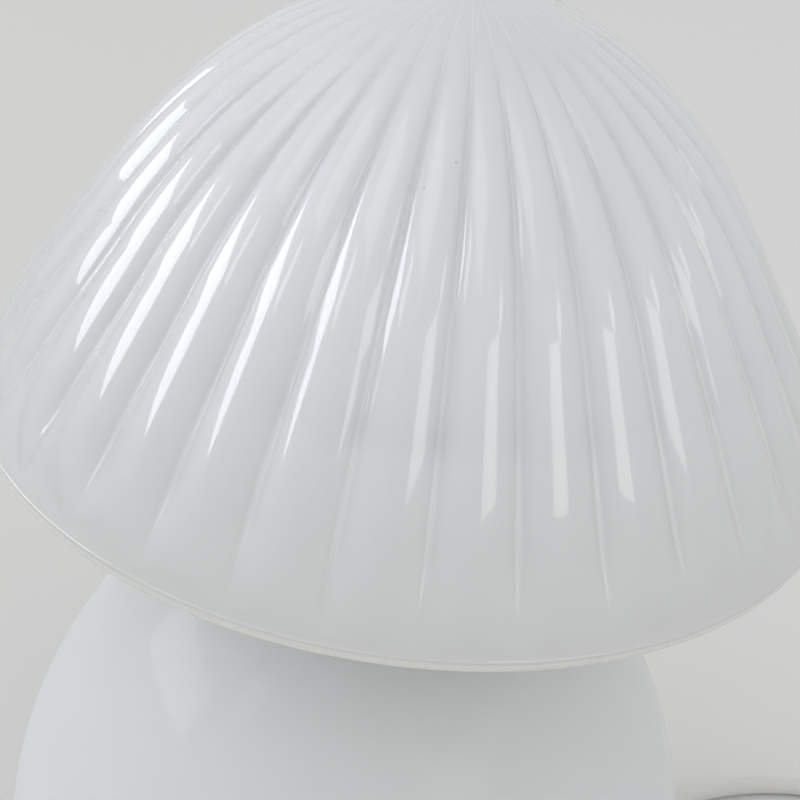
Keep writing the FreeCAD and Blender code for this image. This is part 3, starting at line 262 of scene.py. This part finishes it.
def phosphorFinish(look):
    gel = Finish("ledPhosphor", ior=1.41, coatWeight=0.6, coatRoughness=0.08)
    grains = gel.noise(*look["grain"])
    least, more = look["roughness"]
    gel.set(baseColor=gel.mix(grains, look["colour"], look["grains"]))
    gel.set(roughness=least + grains * more)
    return gel.material


# the driver's board: green lacquer, paler over the copper tracks
boardLook = {
    "colour": rgb(0.05, 0.20, 0.08),
    "tracks": rgb(0.09, 0.32, 0.13),
    "trackScale": 330.0,
    "trackEdge": (0.30, 0.36),
    "roughness": (0.35, 0.1),
    "depth": 0.00003,
}


def boardFinish(look):
    board = Finish("driverBoard", ior=1.5)
    tracks = board.band(board.cells(look["trackScale"], distance="CHEBYCHEV"), *look["trackEdge"])
    least, more = look["roughness"]
    board.set(baseColor=board.mix(tracks, look["colour"], look["tracks"]))
    board.set(roughness=least + tracks * more)
    board.set(normal=board.bump(tracks, look["depth"]))
    return board.material


finishes = {slot: plainFinish(*values) for slot, values in plainSlots.items()}
finishes["led_phosphor"] = phosphorFinish(phosphorLook)
finishes["circuit_board"] = boardFinish(boardLook)
print("plain finishes mixed")


def opalGlass(name, look):
    # milky glass under a clear coat, with faint clouds and a slight ripple
    glass = Finish(name, ior=1.5, subsurfaceWeight=1.0, subsurfaceRadius=look["scatter"])
    glass.set(subsurfaceScale=look["scatterDepth"], coatWeight=look["coat"])
    glass.set(coatRoughness=look["coatRoughness"], coatIor=look["coatIor"])
    cloud = glass.noise(*look["cloudNoise"])
    least, more = look["roughness"]
    glass.set(roughness=least + cloud * more)
    glass.set(normal=glass.bump(glass.noise(*look["ripple"]), look["rippleDepth"]))
    return glass, glass.mix(cloud, look["colour"], look["cloud"])


def addSeeds(glass, look, colour):
    # the few tiny seeds that stay in blown glass
    seeds = glass.cells(look["seedScale"]) < look["seedSize"]
    glass.set(baseColor=glass.mix(seeds * look["seedShare"], colour, look["seed"]))


nothing = 1e-7  # metres; less than this counts as none


def addPiece(name, body, slot, data, *replaced):
    piece = bpy.data.objects.new(name, data)
    bpy.context.scene.collection.objects.link(piece)
    data.materials.append(finishes[slot])
    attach(piece, body)
    if replaced:
        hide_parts(*replaced)
    return piece


def ringMesh(name, rings):
    # rings of equal count, each joined to the next; a ring of one point is a pole
    mesh = bmesh.new()
    rows = [[mesh.verts.new(spot) for spot in ring] for ring in rings]
    for upper, lower in zip(rows, rows[1:]):
        count = max(len(upper), len(lower))
        for k in range(count):
            n = (k + 1) % count
            if len(upper) == 1:
                mesh.faces.new((upper[0], lower[k], lower[n]))
            elif len(lower) == 1:
                mesh.faces.new((upper[k], lower[0], upper[n]))
            else:
                mesh.faces.new((upper[k], lower[k], lower[n], upper[n]))
    bmesh.ops.recalc_face_normals(mesh, faces=mesh.faces)
    data = bpy.data.meshes.new(name)
    mesh.to_mesh(data)
    mesh.free()
    for face in data.polygons:
        face.use_smooth = True
    return data


def lathe(outline, steps):
    # outline of (radius, level); a radius of 0 makes a pole
    turns = [2 * math.pi * k / steps for k in range(steps)]
    rings = []
    for radius, level in outline:
        if radius < nothing:
            rings.append([(0.0, 0.0, level)])
        else:
            rings.append([(radius * math.cos(a), radius * math.sin(a), level) for a in turns])
    return rings


def search(test, low, high, halvings=40):
    # where test turns from false to true
    for _ in range(halvings):
        middle = (low + high) / 2
        low, high = (low, middle) if test(middle) else (middle, high)
    return high


def smoothStep(x, low, high):
    k = min(max((x - low) / (high - low), 0.0), 1.0)
    return k * k * (3 - 2 * k)


# the shade, ribbed and hollow; its two curves are (radius, level above the rim), and curvature runs on
# evenly from one into the other, so that reflections have no kink there
shadeForm = {
    "rim": 0.183,
    "crown": ((0.0, 0.1063), (0.016621, 0.1063), (0.050197, 0.094589), (0.074426, 0.052804)),
    "flank": ((0.074426, 0.052804), (0.082015, 0.039715), (0.097667, 0.017253), (0.1005, 0.0)),
    "ribs": 31,
    "firstGroove": -84.72,  # degrees from +X
    "grooveDepth": 0.0028,
    "grooveStart": (0.016, 0.062),  # radii between which the grooves deepen
    "grooveStop": (0.003, 0.024),  # levels above the rim between which they run out
    "softness": 0.035,  # of the grooves' bottoms, in half ribs
    "flattest": 0.35,  # least outward share of the surface's direction that their depth is divided by
    "wall": 0.0024,
    "innerSwell": 0.6,  # least share of the grooves' depth by which the wall is thicker
    "lipStep": 0.00006,
    "crownFrom": 0.02,  # the first ring's place on the crown's curve
    "crownRings": 44,
    "flankRings": 72,
    "lipRings": 10,
    "innerEvery": 3,  # the inside has a ring for every third one outside
    "innermost": 0.001,
    "clear": 1.3,  # the ribs' last ring stays this many lip radii above the rim
    "stepEnd": (0.3, 1.15),  # where the fine step meets the lip, in lip steps inwards and lip radii up
    # places of a rib's points between one groove and the next, closest at the grooves
    "ribSteps": (0.0, 0.012, 0.028, 0.055, 0.10, 0.17, 0.27, 0.38,
                 0.5, 0.62, 0.73, 0.83, 0.90, 0.945, 0.972, 0.988),
    "glass": {
        "colour": rgb(0.668, 0.682, 0.702),
        "cloud": rgb(0.682, 0.692, 0.708),
        "cloudNoise": (14.0, 3.0),
        "low": rgb(0.582, 0.587, 0.592),  # painted shade: darker towards the rim
        "lowBand": (-0.01, 0.075),  # levels above the rim, as are the next ones
        "valley": rgb(0.81, 0.82, 0.83),  # a painted highlight: the pale line along the bottom of each groove
        "grooveGlintLevels": (0.010, 0.030),  # between which it sets in
        "valleyWidth": (0.012, 0.055),  # in ribs
        "grooveGlintShare": 0.6,
        "lip": rgb(0.60, 0.602, 0.58),  # fire-polished and a shade warmer
        "lipHeight": 0.0025,
        "lipFade": 0.0004,
        "seam": rgb(0.54, 0.545, 0.545),  # the fine line above the lip, where the opal ends
        "seamRise": (-0.0002, 0.0),  # levels above the lip, as are the next ones
        "seamFall": (0.0003, 0.0007),
        "seamShare": 0.6,
        "seed": rgb(0.34, 0.34, 0.33),
        "seedScale": 48.0,
        "seedSize": 0.016,
        "seedShare": 0.4,
        "roughness": (0.30, 0.12),  # the least, and what the clouds add
        "coat": 1.0,
        "coatRoughness": 0.012,
        "coatIor": 1.7,
        "scatter": (1.0, 0.97, 0.94),
        "scatterDepth": 0.009,
        "ripple": (30.0, 1.0, (1.0, 1.0, 0.4)),  # scale, detail and stretch
        "rippleDepth": 0.0003,
    },
}


def shadeGlassFinish(form):
    look = form["glass"]
    glass, colour = opalGlass("opalGlassShade", look)
    level = glass.axis("Z")
    # painted shade, darker towards the rim
    bottom, top = (form["rim"] + height for height in look["lowBand"])
    colour = glass.mix(1.0 - glass.band(level, bottom, top), colour, look["low"])
    turn = glass.node("ShaderNodeMath", {"operation": "ARCTAN2"}, {0: glass.axis("Y"), 1: glass.axis("X")})
    rib = (turn - math.radians(form["firstGroove"])) * (form["ribs"] / (2 * math.pi))
    away = glass.node("ShaderNodeMath", {"operation": "PINGPONG"}, {0: rib, 1: 0.5})
    # a painted highlight: a pale line along each groove's bottom, on the flank
    bottom, top = (form["rim"] + height for height in look["grooveGlintLevels"])
    valley = (1.0 - glass.band(away, *look["valleyWidth"])) * glass.band(level, bottom, top)
    colour = glass.mix(valley * look["grooveGlintShare"], colour, look["valley"])
    edge = form["rim"] + look["lipHeight"]
    rise = glass.band(level, *(edge + height for height in look["seamRise"]))
    fall = glass.band(level, *(edge + height for height in look["seamFall"]))
    lip = 1.0 - glass.band(level, edge - look["lipFade"], edge)
    colour = glass.mix(lip, colour, look["lip"])
    colour = glass.mix(rise * (1.0 - fall) * look["seamShare"], colour, look["seam"])
    addSeeds(glass, look, colour)
    return glass.material


def shadeCurve(form, t):
    # t runs from 0 to 1 along the crown and on to 2 along the flank
    poles = form["crown"] if t <= 1 else form["flank"]
    s = t if t <= 1 else t - 1
    weights = ((1 - s) ** 3, 3 * (1 - s) ** 2 * s, 3 * (1 - s) * s * s, s**3)
    radius, level = (sum(w * pole[axis] for w, pole in zip(weights, poles)) for axis in (0, 1))
    return Vector((radius, level))


def shadeNormal(form, t, probe=0.001):
    way = shadeCurve(form, min(t + probe, 2)) - shadeCurve(form, max(t - probe, 0))
    return Vector((-way.y, way.x)).normalized()


def shadeGroove(form, t):
    spot = shadeCurve(form, t)
    share = smoothStep(spot.x, *form["grooveStart"])
    return form["grooveDepth"] * share * smoothStep(spot.y, *form["grooveStop"])


def shadeWall(form, t):
    swell = form["grooveDepth"] * smoothStep(shadeCurve(form, t).x, *form["grooveStart"])
    return form["wall"] + max(form["innerSwell"] * swell, shadeGroove(form, t))


def lobeRadius(form, crest, depth, share):
    # a rib is an arc between two grooves; share runs from 0 in one to 1 in the next
    half = math.pi / form["ribs"]
    valley = crest - depth
    if depth < nothing:
        return crest
    centre = (crest * crest - valley * valley) / (2 * (crest - valley * math.cos(half)))
    away = half * (1 - abs(2 * share - 1))
    soft = form["softness"] * half
    turn = max(half - math.sqrt(away * away + soft * soft), 0.0)
    lobe = crest - centre
    return centre * math.cos(turn) + math.sqrt(max(lobe * lobe - (centre * math.sin(turn)) ** 2, 0.0))


def shadeRings(form):
    rim, ribs = form["rim"], form["ribs"]
    steps = [step for _ in range(ribs) for step in form["ribSteps"]]
    turns = [math.radians(form["firstGroove"]) + 2 * math.pi * (rib + step) / ribs
             for rib in range(ribs) for step in form["ribSteps"]]
    ways = [(math.cos(a), math.sin(a)) for a in turns]

    def ring(radius, level):
        return [(radius * x, radius * y, rim + level) for x, y in ways]

    start, crownRings, flankRings = form["crownFrom"], form["crownRings"], form["flankRings"]
    stations = [start + (1 - start) * k / crownRings for k in range(crownRings + 1)]
    stations += [1 + k / flankRings for k in range(1, flankRings + 1)]
    lip = shadeWall(form, 2) / 2
    stations = [t for t in stations if shadeCurve(form, t).y > lip * form["clear"]]
    top = form["crown"][0][1]
    rings = [[(0.0, 0.0, rim + top)]]
    for t in stations:
        spot = shadeCurve(form, t)
        depth = shadeGroove(form, t) / max(abs(shadeNormal(form, t).x), form["flattest"])
        radii = [lobeRadius(form, spot.x, depth, step) for step in steps]
        rings.append([(r * x, r * y, rim + spot.y) for r, (x, y) in zip(radii, ways)])
    # a fine step, then the half-round lip
    edge = shadeCurve(form, search(lambda t: shadeCurve(form, t).y < lip, 1, 2)).x
    last = shadeCurve(form, stations[-1])
    drop = form["lipStep"]
    inwards, up = form["stepEnd"]
    rings += [ring(last.x, last.y), ring(last.x - drop, last.y - drop)]
    rings.append(ring(edge - drop * inwards, lip * up))
    for k in range(form["lipRings"] + 1):
        a = math.pi * k / form["lipRings"]
        rings.append(ring(edge - lip + lip * math.cos(a), lip - lip * math.sin(a)))
    # the inside, smooth
    for t in reversed(stations[:-2:form["innerEvery"]]):
        spot = shadeCurve(form, t) - shadeNormal(form, t) * shadeWall(form, t)
        if spot.x > form["innermost"]:
            rings.append(ring(spot.x, spot.y))
    rings.append([(0.0, 0.0, rim + top - form["wall"])])
    return rings


finishes["opal_glass_shade"] = shadeGlassFinish(shadeForm)
ribbedShade = ringMesh("ribbedShade", shadeRings(shadeForm))
addPiece("ribbedShade", "shade", "opal_glass_shade", ribbedShade, "shade_glass")
print("shade blown")


# the body, smooth, hollow and egg-shaped, with its outline's exponent as its power
bodyForm = {
    "radius": 0.0859,
    "halfHeight": 0.1023,
    "middle": 0.0575,
    "power": 1.9,
    "wall": 0.004,
    "foot": 0.002,  # level of the ring that it stands on, over the pads
    "heel": 0.006,  # height of the round heel, and how far it reaches inwards
    "reach": 0.012,
    "flat": 0.009,  # width of the ring
    "punt": 0.006,  # height of the raised middle
    "floor": 0.005,
    "floorRing": 0.03,
    "neck": 0.153,
    "neckLand": 0.003,
    "bore": 0.020,
    "boreSearch": (0.0001, 0.001),  # step, and what stays below the neck
    "exit": (0.056792, 0.056792, 0.024),
    "exitWay": (0.672162, 0.672162, -0.310480),
    "exitHole": 0.0055,
    "drillReach": 0.012,
    "drillSteps": 48,
    "outerSteps": 56,
    "innerSteps": 40,
    "heelSteps": 8,
    "puntSteps": 8,
    "ringSteps": 4,
    "turnSteps": 160,
    "glass": {
        "colour": rgb(0.725, 0.738, 0.755),
        "cloud": rgb(0.74, 0.752, 0.765),
        "cloudNoise": (9.0, 3.0),
        # painted light: the glass paler towards the neck, for light that comes through the shade
        "neck": rgb(0.82, 0.826, 0.832),
        "neckLightLevels": (0.09, 0.145),  # levels between which the painted light sets in
        "seed": rgb(0.36, 0.36, 0.35),
        "seedScale": 42.0,
        "seedSize": 0.012,
        "seedShare": 0.5,
        "roughness": (0.48, 0.12),
        "coat": 0.2,
        "coatRoughness": 0.05,
        "coatIor": 1.6,
        "scatter": (1.0, 0.97, 0.94),
        "scatterDepth": 0.010,
        "ripple": (16.0, 1.0),
        "rippleDepth": 0.0003,
    },
}


def bodyGlassFinish(look):
    glass, colour = opalGlass("opalGlassBody", look)
    # painted light, paler towards the neck
    colour = glass.mix(glass.band(glass.axis("Z"), *look["neckLightLevels"]), colour, look["neck"])
    addSeeds(glass, look, colour)
    return glass.material


def eggRadius(form, level, wall=0.0):
    height = (level - form["middle"]) / (form["halfHeight"] - wall)
    return (form["radius"] - wall) * max(1 - abs(height) ** form["power"], 0) ** (1 / form["power"])


def eggSide(form, low, high, wall, steps):
    levels = [low + (high - low) * math.sin(math.pi / 2 * k / steps) for k in range(steps + 1)]
    return [(eggRadius(form, z, wall), z) for z in levels]


def eggHeel(form, corner, level, probe=0.00005):
    # a curve from flat ground up into the side, whose tangents meet in the knee
    slope = (eggRadius(form, corner[1] + probe) - eggRadius(form, corner[1] - probe)) / (2 * probe)
    knee = (corner[0] - slope * (corner[1] - level), level)
    flat = (corner[0] - form["reach"], level)
    spots = []
    for k in range(form["heelSteps"]):
        s = k / form["heelSteps"]
        weights = ((1 - s) ** 2, 2 * s * (1 - s), s * s)
        spots.append([sum(w * v for w, v in zip(weights, row)) for row in zip(flat, knee, corner)])
    return spots


def bodyOutline(form):
    foot, neck, bore = form["foot"], form["neck"], form["bore"]
    outer = eggSide(form, foot + form["heel"], neck, 0.0, form["outerSteps"])
    heel = eggHeel(form, outer[0], foot)
    edge = heel[0][0] - form["flat"]
    outside = [(0.0, foot + form["punt"])]
    for k in range(form["puntSteps"] - 1, -1, -1):
        s = k / form["puntSteps"]
        outside.append(((1 - s) * edge, foot + form["punt"] * (2 * s * (1 - s) + s * s)))
    outside += [(edge + form["flat"] * k / form["ringSteps"], foot) for k in range(1, form["ringSteps"])]
    outside += heel + outer
    # the inside rises until it is as narrow as the bore
    step, below = form["boreSearch"]
    closes = form["middle"]
    while eggRadius(form, closes, form["wall"]) > bore and closes < neck - below:
        closes += step
    floor = foot + form["punt"] + form["floor"]
    inner = eggSide(form, floor + form["heel"], closes, form["wall"], form["innerSteps"])
    inside = [(0.0, floor), (form["floorRing"], floor)] + eggHeel(form, inner[0], floor) + inner
    return outside + [(outer[-1][0] - form["neckLand"], neck), (bore, neck)] + inside[::-1]


def bodyMesh(form):
    data = ringMesh("bodyGlass", lathe(bodyOutline(form), form["turnSteps"]))
    solid = bpy.data.objects.new("bodyGlass", data)
    turn = Vector((0, 0, 1)).rotation_difference(Vector(form["exitWay"])).to_matrix().to_4x4()
    hole, reach = form["exitHole"], form["drillReach"]
    outline = [(0, -reach), (hole, -reach), (hole, reach), (0, reach)]
    rod = ringMesh("exitDrill", lathe(outline, form["drillSteps"]))
    rod.transform(Matrix.Translation(form["exit"]) @ turn)
    drill = bpy.data.objects.new("exitDrill", rod)
    for thing in (solid, drill):
        bpy.context.scene.collection.objects.link(thing)
    cut = solid.modifiers.new("exitHole", "BOOLEAN")
    cut.operation = "DIFFERENCE"
    cut.solver = "EXACT"
    cut.object = drill
    bpy.context.view_layer.update()
    ready = solid.evaluated_get(bpy.context.evaluated_depsgraph_get())
    made = bpy.data.meshes.new_from_object(ready)
    for thing in (solid, drill):
        bpy.data.objects.remove(thing)
    made.materials.clear()
    return made


finishes["opal_glass_body"] = bodyGlassFinish(bodyForm["glass"])
addPiece("bodyGlass", "lamp", "opal_glass_body", bodyMesh(bodyForm), "body_glass")
print("body blown")


globeForm = {
    "radius": 0.0225,
    "wall": 0.0012,
    "mouth": 0.019,
    "foot": 0.2318,
    "arcSteps": 40,
    "turnSteps": 96,
}


def globeOutline(form):
    seat = math.sqrt(form["radius"] ** 2 - form["mouth"] ** 2)
    middle = form["foot"] + seat
    steps = form["arcSteps"]
    spots = []
    for radius, order in ((form["radius"], 1), (form["radius"] - form["wall"], -1)):
        low = -math.asin(seat / radius)
        turns = [low + (math.pi / 2 - low) * k / steps for k in range(steps)]
        arc = [(radius * math.cos(a), middle + radius * math.sin(a)) for a in turns]
        arc.append((0.0, middle + radius))
        spots += arc[::-order]
    return spots


globe = ringMesh("bulbGlobe", lathe(globeOutline(globeForm), globeForm["turnSteps"]))
addPiece("bulbGlobe", "bulb", "bulb_globe", globe, "bulb_globe")
print("bulb globe made")


# the cord, in two lengths on the table with the switch between them, and one in the lamp; in millimetres
# but for its radius
cordRoutes = {
    "radius": 0.0025,
    "toSwitch": (
        (76.69, 76.69, 14.81), (81.39, 81.39, 12.64), (90.5, 89.2, 5.2), (100.4, 96.0, 2.6),
        (112.5, 103.4, 2.5), (126.0, 108.8, 2.5), (140.2, 111.4, 2.5), (155.0, 110.0, 2.5),
        (168.5, 103.8, 2.5), (178.0, 93.0, 2.5), (182.6, 78.5, 2.5), (182.8, 62.0, 2.5),
        (180.6, 45.0, 2.9), (179.0, 30.0, 5.6), (179.0, 19.0, 8.5), (179.0, 7.0, 8.5),
    ),
    "fromSwitch": ((179.0, -43.0, 8.5), (179.0, -54.0, 8.5), (179.0, -67.0, 3.9)),
    "insideLamp": (
        (76.69, 76.69, 14.81), (31.25, 31.25, 35.8), (9.5, 9.5, 72.0), (0.0, 0.0, 106.0), (0.0, 0.0, 169.2),
    ),
    "coilMiddle": (140.06, -105.0),
    "coilInner": 19.69,
    "coilStep": 5.5,  # from one turn to the next, and from the lower layer to the upper
    "turnsIn": 3.5,  # turns of the lower layer, wound inwards
    "turnsOut": 4.0,
    "climbTurns": 0.5,  # from one layer to the other
    "spotsPerTurn": 16,
    "runIn": (-18.0, -5.0),  # level and straight before the coil and after it
    "runOut": (5.0, 11.0),
    "plugRear": (98.27, -78.0, 6.85),
    "plugReach": (-5.0, 0.1),  # a spot before the plug's rear: how far along, how far up
    "plugHold": 5.0,
}


def coilSpot(route, turn):
    # inwards in the lower layer, up to the upper one, and outwards in it
    past = turn - route["turnsIn"]
    radius = route["coilInner"] + route["coilStep"] * abs(past)
    climb = min(max(past / route["climbTurns"] + 0.5, 0.0), 1.0)
    climb -= math.sin(2 * math.pi * climb) / (2 * math.pi)
    level = 1000 * route["radius"] + route["coilStep"] * climb
    a = -2 * math.pi * turn
    x, y = route["coilMiddle"]
    return (x + radius * math.cos(a), y + radius * math.sin(a), level)


def coilLeaver(route, turn, distance, probe=0.0005):
    # level and straight on from the coil's first or last spot
    spot = Vector(coilSpot(route, turn))
    way = Vector(coilSpot(route, turn + probe)) - Vector(coilSpot(route, turn - probe))
    way.z = 0.0
    return tuple(spot + way.normalized() * distance)


def coilRoute(route):
    turns = route["turnsIn"] + route["turnsOut"]
    steps = int(turns * route["spotsPerTurn"])
    plugX, plugY, plugZ = route["plugRear"]
    along, up = route["plugReach"]
    spots = list(route["fromSwitch"])
    spots += [coilLeaver(route, 0.0, distance) for distance in route["runIn"]]
    spots += [coilSpot(route, turns * k / steps) for k in range(steps + 1)]
    spots += [coilLeaver(route, turns, distance) for distance in route["runOut"]]
    spots += [(plugX, plugY + along, plugZ + up), (plugX, plugY + route["plugHold"], plugZ)]
    return spots


def cordCurve(name, spots, radius):
    data = bpy.data.curves.new(name, "CURVE")
    data.dimensions = "3D"
    data.bevel_depth = radius
    data.bevel_resolution = 6
    data.resolution_u = 8
    data.use_fill_caps = True
    spline = data.splines.new("NURBS")
    spline.points.add(len(spots) - 1)
    for point, spot in zip(spline.points, spots):
        point.co = (*(v / 1000 for v in spot), 1.0)
    spline.order_u = 3
    spline.use_endpoint_u = True
    spline.use_smooth = True
    return data


def makeCords(route):
    near = addPiece("cordToSwitch", "lamp", "cord_sheath",
                    cordCurve("cordToSwitch", route["toSwitch"], route["radius"]), "cord_to_switch")
    far = addPiece("cordToPlug", "lamp", "cord_sheath",
                   cordCurve("cordToPlug", coilRoute(route), route["radius"]),
                   "cord_to_coil", "cord_coil", "cord_to_plug")
    addPiece("leadInLamp", "lamp", "cord_sheath",
             cordCurve("leadInLamp", route["insideLamp"], route["radius"]), "inner_lead")


makeCords(cordRoutes)
print("cords laid")


def dressNodes():
    slots = {entry["node"]: entry["material_slot"] for entry in frame["record"]["subparts"]}
    for name, thing in nodes.items():
        material = finishes[slots[name]]
        if not thing.material_slots:
            thing.data.materials.append(material)
        for place in thing.material_slots:
            place.material = material


dressNodes()
print("nodes dressed")


tableTop = {
    "near": rgb(0.70, 0.69, 0.66),
    "far": rgb(0.83, 0.83, 0.835),
    "from": (-0.9, 0.2),  # the two spots between which the colour turns from the darker, warmer near one to the paler far one
    "to": (1.3, 0.9),
    "cloud": (2.0, 2.0),
    "cloudShare": 0.1,
    "fine": (300.0, 2.0),
    "roughness": (0.7, 0.1),  # the middle, and how far it spreads
    "half": 12.0,
}


def makeTable(look):
    table = Finish("paleTable", ior=1.45)
    cloud = table.noise(*look["cloud"]) - 0.5
    fine = table.noise(*look["fine"]) - 0.5
    (fromX, fromY), (toX, toY) = look["from"], look["to"]
    acrossX, acrossY = toX - fromX, toY - fromY
    reach = acrossX**2 + acrossY**2
    along = ((table.axis("X") - fromX) * acrossX + (table.axis("Y") - fromY) * acrossY) / reach
    change = table.band(along + cloud * look["cloudShare"], 0.0, 1.0)
    table.set(baseColor=table.mix(change, look["near"], look["far"]))
    middle, spread = look["roughness"]
    table.set(roughness=middle + fine * spread)
    half = look["half"]
    corners = [(-half, -half, 0), (half, -half, 0), (half, half, 0), (-half, half, 0)]
    mesh = bpy.data.meshes.new("tableTop")
    mesh.from_pydata(corners, [], [(0, 1, 2, 3)])
    mesh.materials.append(table.material)
    top = bpy.data.objects.new("tableTop", mesh)
    bpy.context.scene.collection.objects.link(top)


makeTable(tableTop)

# the room's windows and its pale walls, as flat lights around the lamp
studio = {
    "sky": (0.72, 0.72, 0.72, 1.0),
    "skyStrength": 1.0,
    "middle": (0.0, 0.0, 0.23),
    "away": 1.6,
    "lamps": {
        # turn from +X and height of its middle, spread both ways, tilt, all in degrees;
        # then brightness, colour, and whether gloss mirrors it
        "leftWindow": (-180.5, 18.0, 40.0, 14.0, 9.0, 3.3, (0.92, 0.96, 1.0), True),
        "leftSky": (-185.0, 40.0, 80.0, 50.0, 0.0, 0.15, (0.5, 0.8, 1.0), False),
        "backWindow": (-145.0, 34.5, 10.0, 13.0, 0.0, 1.5, (0.95, 0.975, 1.0), True),
        "rightWindow": (-47.5, 26.4, 25.0, 11.8, -9.0, 1.4, (1.0, 0.99, 0.965), True),
        "rightPane": (-24.5, 31.0, 11.0, 6.0, 0.0, 1.5, (1.0, 0.99, 0.965), True),
        "ceiling": (-125.0, 64.0, 44.0, 30.0, 0.0, 0.6, (0.95, 0.975, 1.0), True),
        "tableGlow": (-80.0, 4.0, 70.0, 30.0, 0.0, 0.38, (1.0, 0.99, 0.975), False),
    },
}


def makeLight(look):
    world = bpy.data.worlds.new("studioWorld")
    world.use_nodes = True
    back = world.node_tree.nodes["Background"]
    back.inputs["Color"].default_value = look["sky"]
    back.inputs["Strength"].default_value = look["skyStrength"]
    bpy.context.scene.world = world
    away = look["away"]
    for name, (turn, height, wide, tall, tilt, brightness, colour, mirrored) in look["lamps"].items():
        data = bpy.data.lights.new(name, "AREA")
        data.shape = "RECTANGLE"
        data.size = 2 * away * math.tan(math.radians(wide / 2))
        data.size_y = 2 * away * math.tan(math.radians(tall / 2))
        data.energy = brightness * math.pi * data.size * data.size_y
        data.color = colour
        lamp = bpy.data.objects.new(name, data)
        lamp.visible_glossy = mirrored
        a, b = math.radians(turn), math.radians(height)
        way = Vector((math.cos(b) * math.cos(a), math.cos(b) * math.sin(a), math.sin(b)))
        facing = (-way).to_track_quat("-Z", "Y").to_matrix().to_4x4()
        spin = Matrix.Rotation(math.radians(tilt), 4, "Z")
        lamp.matrix_world = Matrix.Translation(Vector(look["middle"]) + way * away) @ facing @ spin
        bpy.context.scene.collection.objects.link(lamp)


makeLight(studio)
bpy.context.scene.view_settings.view_transform = "Standard"
print("table and light set")
